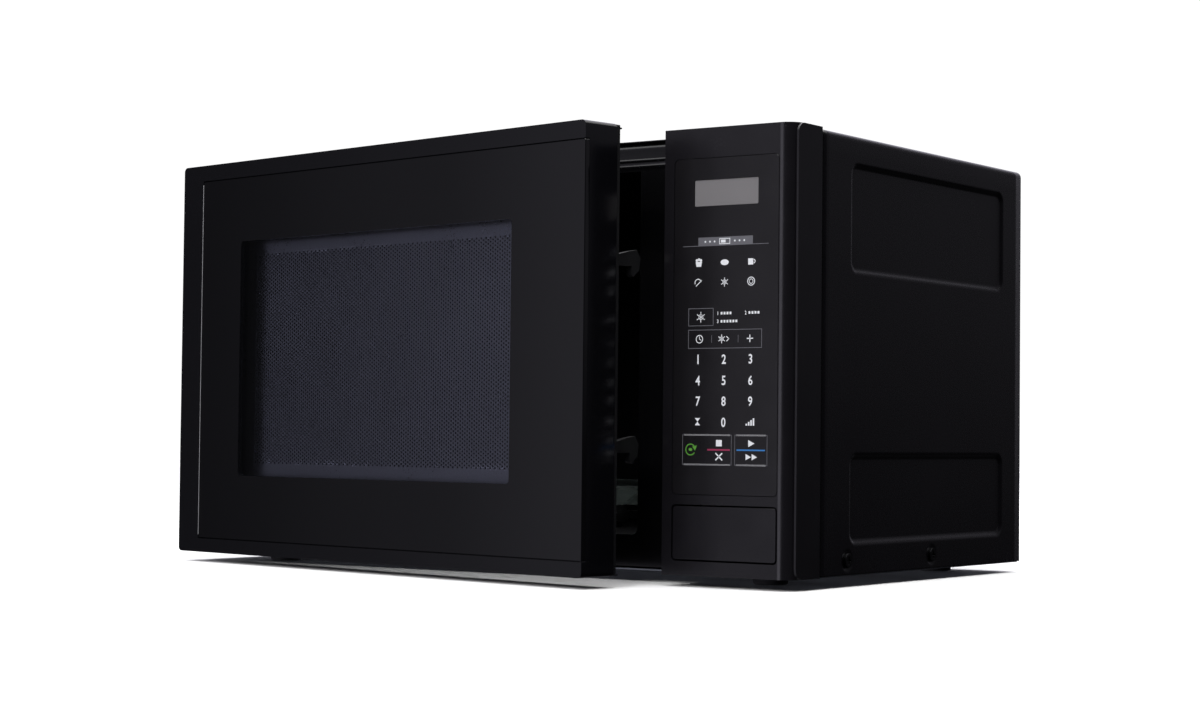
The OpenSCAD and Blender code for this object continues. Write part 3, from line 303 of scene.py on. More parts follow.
def closed_box(node):
    """A door node's lowest and highest corners with the door closed."""
    back = DOOR_TURN.inverted()
    points = [back @ v.co for v in frame["nodes"][node].data.vertices]
    return (Vector(min(p[i] for p in points) for i in range(3)), Vector(max(p[i] for p in points) for i in range(3)))


class Ink:
    """Flat print in the XZ plane, built up from bars, rings and outlines and given a thickness."""

    def __init__(self, y, thickness):
        self.points, self.faces = [], []
        self.y, self.t = y, thickness

    def shape(self, outline):
        """A convex or simple outline, as a thin closed slab."""
        n, first = len(outline), len(self.points)
        area = sum(a[0] * b[1] - b[0] * a[1] for a, b in zip(outline, outline[1:] + outline[:1]))
        if area < 0:
            outline = outline[::-1]
        self.points += [(x, self.y, z) for x, z in outline] + [(x, self.y + self.t, z) for x, z in outline]
        self.faces.append(tuple(first + i for i in range(n)))
        self.faces.append(tuple(first + n + i for i in reversed(range(n))))
        for i in range(n):
            j = (i + 1) % n
            self.faces.append((first + i, first + n + i, first + n + j, first + j))

    def bar(self, x0, x1, z0, z1):
        self.shape([(x0, z0), (x1, z0), (x1, z1), (x0, z1)])

    def stroke(self, path, width):
        """Straight strokes between points, square at the ends."""
        for (x0, z0), (x1, z1) in zip(path, path[1:]):
            run = math.hypot(x1 - x0, z1 - z0)
            ux, uz = (x1 - x0) / run * width / 2, (z1 - z0) / run * width / 2
            self.shape([(x0 - ux + uz, z0 - uz - ux), (x1 + ux + uz, z1 + uz - ux),
                        (x1 + ux - uz, z1 + uz + ux), (x0 - ux - uz, z0 - uz + ux)])

    def arc(self, x, z, r, width, start=0, end=360, squash=1.0, steps=28):
        """A ring or part of one, as a run of short slabs."""
        a = [math.radians(start + (end - start) * i / steps) for i in range(steps + 1)]
        for p, q in zip(a, a[1:]):
            self.shape([(x + s * math.cos(t), z + squash * s * math.sin(t))
                        for s, t in ((r - width / 2, p), (r + width / 2, p), (r + width / 2, q), (r - width / 2, q))])

    def disc(self, x, z, r, squash=1.0, steps=20):
        self.shape([(x + r * math.cos(math.tau * i / steps), z + squash * r * math.sin(math.tau * i / steps))
                    for i in range(steps)])

    def box(self, x0, x1, z0, z1, width):
        for bar in ((x0, x1, z0, z0 + width), (x0, x1, z1 - width, z1),
                    (x0, x0 + width, z0 + width, z1 - width), (x1 - width, x1, z0 + width, z1 - width)):
            self.bar(*bar)

    def mesh(self, name):
        mesh = bpy.data.meshes.new(name)
        mesh.from_pydata(self.points, [], self.faces)
        return mesh


# Sizes and colours a user would change -------------------------------------------------


class OvenFinishes(PropertyGroup):
    """Colours of the oven's main finishes."""

    def colour(name, description, code):
        return FloatVectorProperty(name=name, description=description, subtype="COLOR", size=3,
                                   min=0.0, max=1.0, default=linear(code)[:3])

    cabinet: colour("Cabinet", "Powder coat of the cabinet wrap", "#0b0a0d")
    charcoal: colour("Control panel", "Moulding of the control panel and the button", "#121114")
    door: colour("Door frame", "Moulding round the door's glass", "#08080b")
    keypad: colour("Keypad", "Film of the keypad", "#121113")
    display: colour("Display", "Window over the display", "#6d6b6c")
    del colour


class OvenDoor(PropertyGroup):
    """Sizes of the door's glass and screen."""

    pane_edge: FloatProperty(name="Glass edge", description="Ground chamfer round the front glass",
                             default=0.35 * MM, min=0.1 * MM, max=1 * MM, unit="LENGTH")
    window_round: FloatProperty(name="Window corner", description="Corner radius of the clear window",
                                default=2.2 * MM, min=0.5 * MM, max=10 * MM, unit="LENGTH")
    hole_pitch: FloatProperty(name="Hole pitch", description="Distance between the screen's holes",
                              default=2.3 * MM, min=1.5 * MM, max=5 * MM, unit="LENGTH")
    hole_size: FloatProperty(name="Hole size", description="Diameter of the screen's holes",
                             default=1.5 * MM, min=0.8 * MM, max=3 * MM, unit="LENGTH")
    screen_margin: FloatProperty(name="Screen margin", description="Plain border between the holes and the window",
                                 default=7 * MM, min=0.0, max=20 * MM, unit="LENGTH")


class OvenKeypad(PropertyGroup):
    """Sizes of the keypad's print."""

    digit_height: FloatProperty(name="Digit height", description="Height of the printed digits",
                                default=5.2 * MM, min=3 * MM, max=8 * MM, unit="LENGTH")
    line: FloatProperty(name="Line", description="Width of the thin printed lines",
                        default=0.35 * MM, min=0.2 * MM, max=1 * MM, unit="LENGTH")
    ink: FloatProperty(name="Ink", description="Thickness of the print",
                       default=0.03 * MM, min=0.01 * MM, max=0.05 * MM, unit="LENGTH")


class OvenCabinet(PropertyGroup):
    """Sizes of the pressed cabinet wrap."""

    slope: FloatProperty(name="Field slope", description="Width of the slope round each pressed field",
                         default=3.0 * MM, min=1 * MM, max=10 * MM, unit="LENGTH")
    depth: FloatProperty(name="Field depth", description="Depth of the pressed fields",
                         default=1.5 * MM, min=0.5 * MM, max=1.5 * MM, unit="LENGTH")
    bend: FloatProperty(name="Bend radius", description="Radius of the wrap's top bends",
                        default=4 * MM, min=2 * MM, max=10 * MM, unit="LENGTH")


class OvenStage(PropertyGroup):
    """Camera and light of the studio."""

    lens: FloatProperty(name="Lens", description="Focal length on a 36 mm sensor, in millimetres",
                        default=72.2, min=20.0, max=200.0)
    heading: FloatProperty(name="Heading", description="Camera's turn from straight back towards the left",
                           default=math.radians(35.083), subtype="ANGLE")
    pitch: FloatProperty(name="Pitch", description="Camera's tilt above level",
                         default=math.radians(2.016), subtype="ANGLE")
    roll: FloatProperty(name="Roll", description="Camera's roll",
                        default=math.radians(-0.608), subtype="ANGLE")
    eye: FloatVectorProperty(name="Eye", description="Camera's place", size=3, subtype="TRANSLATION",
                             default=(0.8807, -1.2357, 0.0814), unit="LENGTH")
    overhead: FloatProperty(name="Overhead", description="Power of the overhead softbox",
                            default=50.0, min=0.0, subtype="POWER")
    sun: FloatProperty(name="Sky", description="Strength of the wide light straight above, which whitens the floor",
                       default=3.0, min=0.0)
    fill: FloatProperty(name="Front fill", description="Power of the soft light beside the camera",
                        default=26.0, min=0.0, subtype="POWER")


GROUPS = {
    "oven_finishes": OvenFinishes,
    "oven_door": OvenDoor,
    "oven_keypad": OvenKeypad,
    "oven_cabinet": OvenCabinet,
    "oven_stage": OvenStage,
}


class OvenOperator:
    """What every step shares: the finishes, made once."""

    bl_options = {"REGISTER", "UNDO"}

    def execute(self, context):
        self.build(context.scene, make_finishes())
        return {"FINISHED"}


# Body ---------------------------------------------------------------------------------


class OVEN_OT_cabinet(OvenOperator, Operator):
    """Build the cabinet wrap with its pressed fields and screw seats"""

    bl_idname = "oven.cabinet"
    bl_label = "Cabinet wrap"

    def build(self, scene, finishes):
        size = scene.oven_cabinet
        low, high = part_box("cabinet_wrap")
        sheet = 0.8 * MM
        x1, z1, r = high.x, high.z, size.bend
        # pressed fields on each side, as ranges of depth and height
        y0, y1 = low.y + 33.1 * MM, high.y - 25 * MM
        fields = ((high.z - 77.5 * MM, high.z - 15.5 * MM), (low.z + 16.4 * MM, low.z + 67.4 * MM))
        # dished seats of the two side screws
        seats = [(low.y + d * MM, low.z + 8 * MM) for d in (31.1, 132.1)]

        def press(y, z):
            """How far the sheet is pressed in at a point of the side."""
            depth = 0.0
            for f0, f1 in fields:
                cy, cz = (y0 + y1) / 2, (f0 + f1) / 2
                corner = 7 * MM
                qy, qz = abs(y - cy) - (y1 - y0) / 2 + corner, abs(z - cz) - (f1 - f0) / 2 + corner
                away = min(max(qy, qz), 0.0) + math.hypot(max(qy, 0.0), max(qz, 0.0)) - corner
                t = min(max(-away / size.slope, 0.0), 1.0)
                depth = max(depth, size.depth * t * t * (3 - 2 * t))
            for sy, sz in seats:
                t = min(max((6.5 * MM - math.hypot(y - sy, z - sz)) / (2.2 * MM), 0.0), 1.0)
                depth = max(depth, 0.4 * MM * t * t * (3 - 2 * t))
            return depth

        def lines(start, end, edges, coarse=8 * MM, fine=0.75 * MM):
            """Grid lines, close together where the sheet changes."""
            places = {round(start, 6), round(end, 6)}
            count = round((end - start) / coarse)
            places |= {round(start + (end - start) * i / count, 6) for i in range(1, count)}
            for a, b in edges:
                a, b = max(a, start), min(b, end)
                count = max(int((b - a) / fine), 1)
                places |= {round(a + (b - a) * i / count, 6) for i in range(count + 1)}
            places = sorted(places)
            return [p for i, p in enumerate(places) if i == 0 or p - places[i - 1] > 0.2 * MM or p == places[-1]]

        rim = 1 * MM
        ys = lines(low.y, high.y, [(y0 - rim, y0 + 8 * MM), (y1 - 8 * MM, y1 + rim)]
                   + [(sy - 7 * MM, sy + 7 * MM) for sy, _ in seats])
        zs = lines(low.z, z1 - r, [(f[0] - rim, f[0] + 8 * MM) for f in fields]
                   + [(f[1] - 8 * MM, f[1] + rim) for f in fields] + [(low.z, low.z + 15 * MM)])
        turn = [math.radians(a) for a in range(15, 90, 15)]
        profile = [(x1, z) for z in zs]
        profile += [(x1 - r + r * math.cos(a), z1 - r + r * math.sin(a)) for a in turn]
        across = [x1 - r - (x1 - r) * 2 * i / 12 for i in range(13)]
        profile += [(x, z1) for x in across]
        profile += [(-x, z) for x, z in reversed(profile[: len(zs) + len(turn)])]
        points, count = [], len(profile)
        for y in ys:
            for x, z in profile:
                side = abs(x) > x1 - 1e-6 and z < z1 - r
                inset = press(y, z) if side else 0.0
                points.append((x - math.copysign(inset, x), y, z))
        faces = [(i * count + k, i * count + k + 1, (i + 1) * count + k + 1, (i + 1) * count + k)
                 for i in range(len(ys) - 1) for k in range(count - 1)]
        mesh = bpy.data.meshes.new("wrap_sheet")
        mesh.from_pydata(points, [], [f[::-1] for f in faces])
        smooth(mesh, 60)
        wrap = piece("wrap_sheet", mesh, "oven", finishes["powder_coat"], ["cabinet_wrap"])
        thick = wrap.modifiers.new("sheet", "SOLIDIFY")
        thick.thickness = sheet
        thick.offset = -1.0
        thick.use_even_offset = True
        eased("cabinet_screws", "cabinet_pan_screws", "oven", finishes["black_zinc"], 0.25)


class OVEN_OT_body(OvenOperator, Operator):
    """Ease the edges of the steel body, its feet and its rear cover"""

    bl_idname = "oven.body"
    bl_label = "Steel body"

    def build(self, scene, finishes):
        for node, name, slot, finish, width in (
            ("front_plate", "front_frame_sheet", "dark_paint", "stove_enamel", 0.3),
            ("front_rail", "front_rail_sheet", "dark_paint", "stove_enamel", 0.0),
            ("rear_panel", "rear_sheet", "galvanised", "galvanised", 0.25),
            ("rear_bulge", "rear_drawn_cover", "galvanised", "galvanised", 0.3),
            ("base_plate", "base_sheet", "galvanised", "galvanised", 0.25),
            ("feet", "rubber_feet", "rubber_black", "rubber", 0.8),
            ("cord_gland", "cord_grommet", "black_plastic", "rubber", 0.5),
            ("hinge_brackets", "hinge_plates", "zinc_steel", "zinc", 0.25),
            # the cavity's dark enamel is partly painted shade for its unlit inside
            ("oven_cavity", "cavity_box", "cavity_paint", "cavity_enamel_and_shade", 0.3),
            ("waveguide_cover", "mica_cover", "mica", "mica", 0.15),
        ):
            eased(node, name, "oven", finishes[finish], width)


# Control panel ------------------------------------------------------------------------


class OVEN_OT_panel_moulding(OvenOperator, Operator):
    """Build the control panel's moulding, its button and what the button works"""

    bl_idname = "oven.panel_moulding"
    bl_label = "Control panel"

    def build(self, scene, finishes):
        eased("control_housing", "panel_moulding", "oven", finishes["moulded_abs"], 0.45, 3)
        eased("open_button", "door_push_button", "open_button", finishes["moulded_abs"], 0.5, 3)
        eased("release_lever", "door_release_lever", "release_lever", finishes["acetal"], 0.3)
        eased("display_window", "display_lens", "oven", finishes["lens"], 0.15)


class OVEN_OT_keypad(OvenOperator, Operator):
    """Build the keypad film and its print"""

    bl_idname = "oven.keypad"
    bl_label = "Keypad"

    def build(self, scene, finishes):
        size = scene.oven_keypad
        low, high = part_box("keypad")
        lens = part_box("display_window")
        edge, corner, gap = 0.4 * MM, 2.9 * MM, 0.15 * MM
        hole = (lens[0].x - gap, lens[1].x + gap, lens[0].z - gap, lens[1].z + gap)
        film = loft("keypad_film", [
            loop(*hole, 0.8 * MM, low.y),
            loop(low.x + edge, high.x - edge, low.z + edge, high.z - edge, corner - edge, low.y),
            loop(low.x, high.x, low.z, high.z, corner, low.y + edge * 0.9),
            loop(low.x, high.x, low.z, high.z, corner, high.y),
            loop(*hole, 0.8 * MM, high.y),
        ])
        piece("keypad_film", film, "oven", finishes["film"], ["keypad"])
        self.print_keys(size, low, high, finishes)

    def print_keys(self, size, low, high, finishes):
        face = low.y - size.ink
        left, floor = low.x, low.z
        columns = [left + mm * MM for mm in (16.4, 33.1, 50.1)]

        def ink():
            return Ink(face, size.ink)

        def at(mm):
            return floor + mm * MM

        white, grey, silver, green, crimson, blue = (ink() for _ in range(6))
        thin = size.line

        # band above the one-touch keys, with an oven pictogram in it
        band = (left + 16 * MM, left + 51 * MM, at(136.4), at(141.2))
        grey.bar(*band)
        grey.bar(left + 6 * MM, band[0], at(136.4), at(136.4) + thin)
        grey.bar(band[1], left + 61 * MM, at(136.4), at(136.4) + thin)
        mid = (band[2] + band[3]) / 2
        band_white = Ink(face - 0.01 * MM, size.ink)
        band_white.box(left + 29.5 * MM, left + 36.5 * MM, mid - 1.6 * MM, mid + 1.6 * MM, 0.4 * MM)
        band_white.bar(left + 30.6 * MM, left + 33.6 * MM, mid - 0.8 * MM, mid + 0.8 * MM)
        for side in (-1, 1):
            for i in range(3):
                x = left + 33 * MM + side * (6.5 + 3 * i) * MM
                band_white.disc(x, mid, 0.55 * MM, steps=12)

        # six pictogram keys: a carton, a potato, a cup, a leaf, a snowflake and a plate
        x, z = columns[0], at(127.2)
        white.shape([(x + dx * MM, z + dz * MM) for dx, dz in ((-1.5, -2), (1.5, -2), (2.1, 0.7), (-2.1, 0.7))])
        for dx, dz in ((-1.3, 1.5), (0, 1.9), (1.3, 1.5)):
            white.disc(x + dx * MM, z + dz * MM, 0.8 * MM, steps=14)
        white.disc(columns[1], z, 2.6 * MM, 0.62)
        x = columns[2]
        white.bar(x - 2 * MM, x + 1.2 * MM, z - 1.8 * MM, z + 1.6 * MM)
        white.arc(x + 1.4 * MM, z, 1.0 * MM, 0.45 * MM, -90, 90, steps=12)
        z = at(116.4)
        x = columns[0]
        white.arc(x - 0.4 * MM, z, 2.0 * MM, 0.5 * MM, 10, 200, steps=16)
        white.stroke([(x - 1.6 * MM, z - 1.8 * MM), (x + 1.8 * MM, z + 1.2 * MM)], 0.45 * MM)
        self.snowflake(white, columns[1], z, 2.3 * MM)
        white.arc(columns[2], z, 2.2 * MM, 0.45 * MM)
        white.arc(columns[2], z, 1.2 * MM, 0.35 * MM)

        # thawing key with its three numbered kinds, then clock, quick thaw and add a minute
        for x1, z0, z1 in ((26.2, 92.6, 102.4), (57.2, 80.2, 90.6)):
            grey.box(left + 9.9 * MM, left + x1 * MM, at(z0), at(z1), thin)
        for x in (left + 25 * MM, left + 42 * MM):
            grey.bar(x, x + thin * 0.8, at(83.4), at(87.4))
        self.snowflake(white, left + 18 * MM, at(97.5), 2.7 * MM)
        for x, z, run in ((28.4, 99.4, 8.6), (46.2, 99.4, 8.2), (28.4, 95.0, 12.5)):
            for i in range(int(run / 1.9)):
                white.bar(left + (x + 2.4 + 1.9 * i) * MM, left + (x + 3.6 + 1.9 * i) * MM, at(z - 0.7), at(z + 0.7))
        z = at(85.4)
        white.arc(left + 17.2 * MM, z, 2.1 * MM, 0.45 * MM)
        white.stroke([(left + x * MM, z + dz * MM) for x, dz in ((17.2, 1.3), (17.2, 0), (18.2, -0.5))], 0.4 * MM)
        self.snowflake(white, left + 31.6 * MM, z, 2.2 * MM)
        white.stroke([(left + x * MM, z + dz * MM) for x, dz in ((34.8, 1.2), (36.2, 0), (34.8, -1.2))], 0.45 * MM)
        white.bar(left + 47.6 * MM, left + 51.6 * MM, z - 0.3 * MM, z + 0.3 * MM)
        white.bar(left + 49.3 * MM, left + 49.9 * MM, z - 2 * MM, z + 2 * MM)

        # beside the 0: an hourglass for time and steps for power
        x, z = columns[0], at(40.2)
        white.shape([(x - 1.7 * MM, z + 2 * MM), (x, z), (x + 1.7 * MM, z + 2 * MM)])
        white.shape([(x - 1.7 * MM, z - 2 * MM), (x, z), (x + 1.7 * MM, z - 2 * MM)])
        for i in range(4):
            x = columns[2] + (1.5 * i - 2.8) * MM
            white.bar(x, x + 1 * MM, z - 2 * MM, z + (-1 + 1.0 * i) * MM)

        # stop and start keys: boxes with bright upper and lower edges
        for x0, x1 in ((left + 6.7 * MM, left + 38.5 * MM), (left + 40.4 * MM, left + 61.1 * MM)):
            z0, z1 = at(16.6), at(33.1)
            grey.box(x0, x1, z0, z1, thin * 0.8)
            for z in (z0 - 0.2 * MM, z1 - 0.5 * MM):
                silver.bar(x0 + 1 * MM, x1 - 1 * MM, z, z + 0.7 * MM)
        z = at(24.9)
        x = left + 12 * MM
        green.arc(x, z, 3.0 * MM, 0.6 * MM, 40, 330)
        green.shape([(x + 1.2 * MM, z + 1.6 * MM), (x + 4.2 * MM, z + 2.4 * MM), (x + 3.0 * MM, z - 0.6 * MM)])
        green.disc(x, z, 1.2 * MM, 0.7)
        x = left + 30.4 * MM
        crimson.bar(x - 7.5 * MM, x + 7 * MM, z - 0.45 * MM, z + 0.45 * MM)
        white.bar(x - 1.9 * MM, x + 1.9 * MM, z + 1.9 * MM, z + 5.4 * MM)
        white.stroke([(x - 1.9 * MM, z - 5.4 * MM), (x + 1.9 * MM, z - 2 * MM)], 0.75 * MM)
        white.stroke([(x - 1.9 * MM, z - 2 * MM), (x + 1.9 * MM, z - 5.4 * MM)], 0.75 * MM)
        x = left + 50.7 * MM
        blue.bar(x - 9 * MM, x + 9 * MM, z - 0.4 * MM, z + 0.4 * MM)
        white.shape([(x - 1.6 * MM, z + 1.7 * MM), (x + 2.4 * MM, z + 3.6 * MM), (x - 1.6 * MM, z + 5.5 * MM)])
        for dx in (-3.2, 0.6):
            white.shape([(x + dx * MM, z - 5.4 * MM), (x + (dx + 3.4) * MM, z - 3.7 * MM), (x + dx * MM, z - 2 * MM)])

        for name, one, finish in (
            ("white_print", white, "white_ink"), ("band_print", band_white, "white_ink"),
            ("grey_print", grey, "grey_ink"), ("silver_print", silver, "silver_ink_and_edge_highlight"),
            ("green_print", green, "green_ink"), ("crimson_print", crimson, "crimson_ink"),
            ("blue_print", blue, "blue_ink"),
        ):
            piece(name, one.mesh(name), "oven", finishes[finish])

        # digits
        rows = (at(74.3), at(62.7), at(51.4), at(39.9))
        places = [(str(3 * r + c + 1), columns[c], rows[r]) for r in range(3) for c in range(3)]
        places.append(("0", columns[1], rows[3]))
        kinds = ((29, 99.4), (46.8, 99.4), (29, 95.0))
        small = [(str(i + 1), left + x * MM, at(z)) for i, (x, z) in enumerate(kinds)]
        for text, x, z in places:
            self.digit(text, x, z, size.digit_height, size, face, finishes["white_ink"])
        for text, x, z in small:
            self.digit(text, x, z, 2.0 * MM, size, face, finishes["white_ink"], "kind_")

    @staticmethod
    def snowflake(ink, x, z, r):
        for i in range(3):
            a = math.radians(60 * i + 30)
            dx, dz = r * math.cos(a), r * math.sin(a)
            ink.stroke([(x - dx, z - dz), (x + dx, z + dz)], 0.4 * MM)
        ink.arc(x, z, r * 0.55, 0.3 * MM, steps=6)

    @staticmethod
    def digit(text, x, z, height, size, face, material, prefix="key_"):
        curve = bpy.data.curves.new("digit_outline", "FONT")
        curve.body = text
        curve.align_x, curve.align_y = "CENTER", "CENTER"
        curve.extrude = size.ink / 2
        curve.resolution_u = 4
        curve.offset = DIGIT_WEIGHT
        holder = bpy.data.objects.new("digit_outline", curve)
        bpy.context.scene.collection.objects.link(holder)
        bpy.context.view_layer.update()
        mesh = bpy.data.meshes.new_from_object(holder.evaluated_get(bpy.context.evaluated_depsgraph_get()))
        bpy.data.objects.remove(holder)
        tall = max(v.co.y for v in mesh.vertices) - min(v.co.y for v in mesh.vertices)
        middle = (max(v.co.y for v in mesh.vertices) + min(v.co.y for v in mesh.vertices)) / 2
        scale = height / tall
        for v in mesh.vertices:
            across, up, out = v.co
            v.co = (x + across * scale * DIGIT_WIDTH, face + size.ink / 2 - out, z + (up - middle) * scale)
        mesh.name = prefix + text
        piece(prefix + text, mesh, "oven", material)


# Door ---------------------------------------------------------------------------------


class OVEN_OT_door(OvenOperator, Operator):
    """Build the door's moulding, choke ring, latch key and small parts"""

    bl_idname = "oven.door"
    bl_label = "Door"

    def build(self, scene, finishes):
        eased("door_frame", "door_moulding", "door", finishes["polished_abs"], 0.4, 3)
        eased("choke_cover", "choke_ring", "door", finishes["black_acetal"], 0.35)
        eased("latch_key", "hooked_latch_key", "latch_key", finishes["black_acetal"], 0.3)
        eased("door_bushes", "hinge_bushes", "door", finishes["acetal"], 0.2)
        eased("door_screws", "screen_screws", "door", finishes["zinc"], 0.2)


class OVEN_OT_glass(OvenOperator, Operator):
    """Build the front glass: a black printed border and the clear window inside it"""

    bl_idname = "oven.glass"
    bl_label = "Front glass"

    def build(self, scene, finishes):
        size = scene.oven_door
        low, high = closed_box("door_glass")
        film_low, film_high = closed_box("window_film")
        window = (film_low.x + FILM_LAP, film_high.x - FILM_LAP, film_low.z + FILM_LAP, film_high.z - FILM_LAP)
        edge, corner = size.pane_edge, 0.8 * MM
        outer = (low.x, high.x, low.z, high.z)
        inner = (low.x + edge, high.x - edge, low.z + edge, high.z - edge)
        border = loft("printed_border", [
            loop(*window, size.window_round, low.y),
            loop(*inner, corner - edge * 0.9, low.y),
            loop(*outer, corner, low.y + edge),
            loop(*outer, corner, high.y),
            loop(*window, size.window_round, high.y),
        ])
        piece("printed_border", border, "door", finishes["printed_glass"], ["door_glass"], DOOR_TURN)
        # painted highlight: a thin sliver of silver ink in the gap at the glass's hinge-side edge, standing in for its
        # polished edge catching the light
        gap = 0.35 * MM
        edge_highlight = loft("glass_edge_painted_highlight", [
            loop(low.x - gap, low.x, low.z + 2 * MM, high.z - 2 * MM, 0.15 * MM, low.y + 0.05 * MM),
            loop(low.x - gap, low.x, low.z + 2 * MM, high.z - 2 * MM, 0.15 * MM, low.y + 1 * MM),
        ], caps=True)
        piece("glass_edge_painted_highlight", edge_highlight, "door", finishes["silver_ink_and_edge_highlight"], turn=DOOR_TURN)
        seam = 0.01 * MM
        clear = (window[0] + seam, window[1] - seam, window[2] + seam, window[3] - seam)
        pane = loft("window_pane", [
            loop(*clear, size.window_round, low.y),
            loop(*clear, size.window_round, high.y - FILM_AIR),
        ], caps=True)
        piece("window_pane", pane, "door", finishes["smoked_glass"], turn=DOOR_TURN)


class OVEN_OT_screen(OvenOperator, Operator):
    """Build the perforated steel screen behind the window and its folded pan"""

    bl_idname = "oven.screen"
    bl_label = "Door screen"

    def build(self, scene, finishes):
        size = scene.oven_door
        low, high = closed_box("door_screen")
        film_low, film_high = closed_box("window_film")
        aside, above = FILM_LAP + 2 * MM, FILM_LAP + size.screen_margin
        x0, x1 = film_low.x + aside, film_high.x - aside
        z0, z1 = film_low.z + above, film_high.z - above
        gauge = 0.4 * MM
        pitch = size.hole_pitch
        step = pitch * math.sqrt(3) / 2
        columns = int((x1 - x0) / step)
        rows = int((z1 - z0) / pitch)
        x0 = (x0 + x1 - columns * step) / 2
        x1 = x0 + columns * step
        z0 = (z0 + z1 - (rows + 0.5) * pitch) / 2
        z1 = z0 + (rows + 0.5) * pitch
        r, y = size.hole_size / 2, low.y + gauge / 2 + FILM_AIR
        hexagon = [(r * math.cos(math.radians(a)), r * math.sin(math.radians(a))) for a in range(30, 390, 60)]
        points, faces = [], []
        for i in range(columns):
            cx = x0 + (i + 0.5) * step
            odd = i % 2
            for j in range(rows):
                cz = z0 + (j + 0.5 + odd / 2) * pitch
                a, b, c, d = cx - step / 2, cx + step / 2, cz - pitch / 2, cz + pitch / 2
                rim = [(b, d), (cx, d), (a, d), (a, c), (cx, c), (b, c)]
                first = len(points)
                points += [(px, y, pz) for px, pz in rim]
                points += [(cx + hx, y, cz + hz) for hx, hz in hexagon]
                faces += [(first + k, first + (k + 1) % 6, first + 6 + (k + 1) % 6, first + 6 + k) for k in range(6)]
            a, b = cx - step / 2, cx + step / 2
            c, d = (z0, z0 + pitch / 2) if odd else (z1 - pitch / 2, z1)
            first = len(points)
            points += [(b, y, d), (a, y, d), (a, y, c), (b, y, c)]
            faces.append((first, first + 1, first + 2, first + 3))
        mesh = bpy.data.meshes.new("perforated_sheet")
        mesh.from_pydata(points, [], faces)
        bm = bmesh.new()
        bm.from_mesh(mesh)
        bmesh.ops.remove_doubles(bm, verts=bm.verts, dist=0.02 * MM)
        bmesh.ops.recalc_face_normals(bm, faces=bm.faces)
        bm.to_mesh(mesh)
        bm.free()
        sheet = piece("perforated_sheet", mesh, "door", finishes["screen_paint"], turn=DOOR_TURN)
        thick = sheet.modifiers.new("sheet", "SOLIDIFY")
        thick.thickness = gauge
        thick.offset = 0.0
        wall = 0.8 * MM
        box = (low.x, high.x, low.z, high.z)
        inside = (low.x + wall, high.x - wall, low.z + wall, high.z - wall)
        window = (x0, x1, z0, z1)
        pan = loft("screen_pan", [
            loop(*window, 0.3 * MM, low.y),
            loop(*box, 4 * MM, low.y),
            loop(*box, 4 * MM, high.y),
            loop(*inside, 3.2 * MM, high.y),
            loop(*inside, 3.2 * MM, low.y + wall),
            loop(*window, 0.3 * MM, low.y + wall),
        ])
        piece("screen_pan", pan, "door", finishes["screen_paint"], ["door_screen"], DOOR_TURN)


# Inside -------------------------------------------------------------------------------


class OVEN_OT_turntable(OvenOperator, Operator):
    """Build the glass tray, its rollers and its drive"""

    bl_idname = "oven.turntable"
    bl_label = "Turntable"

    def build(self, scene, finishes):
        tray = eased("glass_tray", "pressed_tray", "glass_tray", finishes["tray_glass"], 0.6, 3)
        tray.visible_shadow = False
        # the ring and rollers are black partly as painted shade, kept as dark as the unlit cavity around them
        eased("roller_ring", "tray_ring", "roller_ring", finishes["black_acetal"], 0.4)
        for i in (1, 2, 3):
            eased(f"roller_{i}", f"tray_roller_{i}", f"roller_{i}", finishes["black_acetal"], 0.5)
        eased("turntable_coupler", "tray_drive", "turntable", finishes["acetal"], 0.4)


class OVEN_OT_works(OvenOperator, Operator):
    """Give the electrical and hidden parts their finishes"""

    bl_idname = "oven.works"
    bl_label = "Works"

    def build(self, scene, finishes):
        for finish, nodes in {
            "galvanised": "waveguide magnetron turntable_motor",
            "aluminium": "magnetron_fins capacitor",
            "lamination": "transformer_core fan_motor",
            "winding": "transformer_coils",
            "zinc": "capacitor_clamp turntable_shaft fan_shaft",
            "black_acetal": "diode fan_shroud fan_blade air_duct interlock_switches",
            "board": "control_board filter_board",
            "amber": "board_parts",
            "acetal": "display_module latch_board",
            "ceramic": "lamp_holder thermal_cutouts",
            "lamp": "oven_lamp",
            "clear_film": "window_film",
        }.items():
            for node in nodes.split():
                obj = frame["nodes"][node]
                obj.data.materials.clear()
                obj.data.materials.append(finishes[finish])
        for node, name, body, joint, axis, turns in (
            ("button_spring", "button_return_spring", "oven", "button_push", (0, 1, 0), 6),
            ("latch_spring", "latch_return_spring", "door", "latch_lift", (0, 0, 1), 9),
        ):
            self.spring(node, name, body, joint, axis, turns, finishes["spring"])

    @staticmethod
    def spring(node, name, body, joint, axis, turns, material):
        """A coil of round wire that its joint presses against its far end."""
        wire, travel = 0.9 * MM, 5 * MM
        low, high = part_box(node)
        middle, along, side = (low + high) / 2, Vector(axis), Vector((1, 0, 0))
        across = along.cross(side)
        length = (high - low).dot(along)
        radius = (high.x - low.x - wire) / 2
        ring, steps = 8, turns * 20
        points = []
        for i in range(steps + 1):
            a = math.tau * turns * i / steps
            out = side * math.cos(a) + across * math.sin(a)
            centre = middle + out * radius + along * ((length - wire) * (i / steps - 0.5))
            points += [centre + (out * math.cos(b) + along * math.sin(b)) * wire / 2
                       for b in (math.tau * k / ring for k in range(ring))]
        faces = [(i * ring + k, i * ring + (k + 1) % ring, (i + 1) * ring + (k + 1) % ring, (i + 1) * ring + k)
                 for i in range(steps) for k in range(ring)]
        faces += [tuple(range(ring)), tuple(steps * ring + k for k in range(ring))]
        mesh = bpy.data.meshes.new(name)
        mesh.from_pydata(points, [], faces)
        bm = bmesh.new()
        bm.from_mesh(mesh)
        bmesh.ops.recalc_face_normals(bm, faces=bm.faces)
        bm.to_mesh(mesh)
        bm.free()
        smooth(mesh, 50)
        coil = piece(name, mesh, body, material, [node])
        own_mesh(coil)


# Studio -------------------------------------------------------------------------------


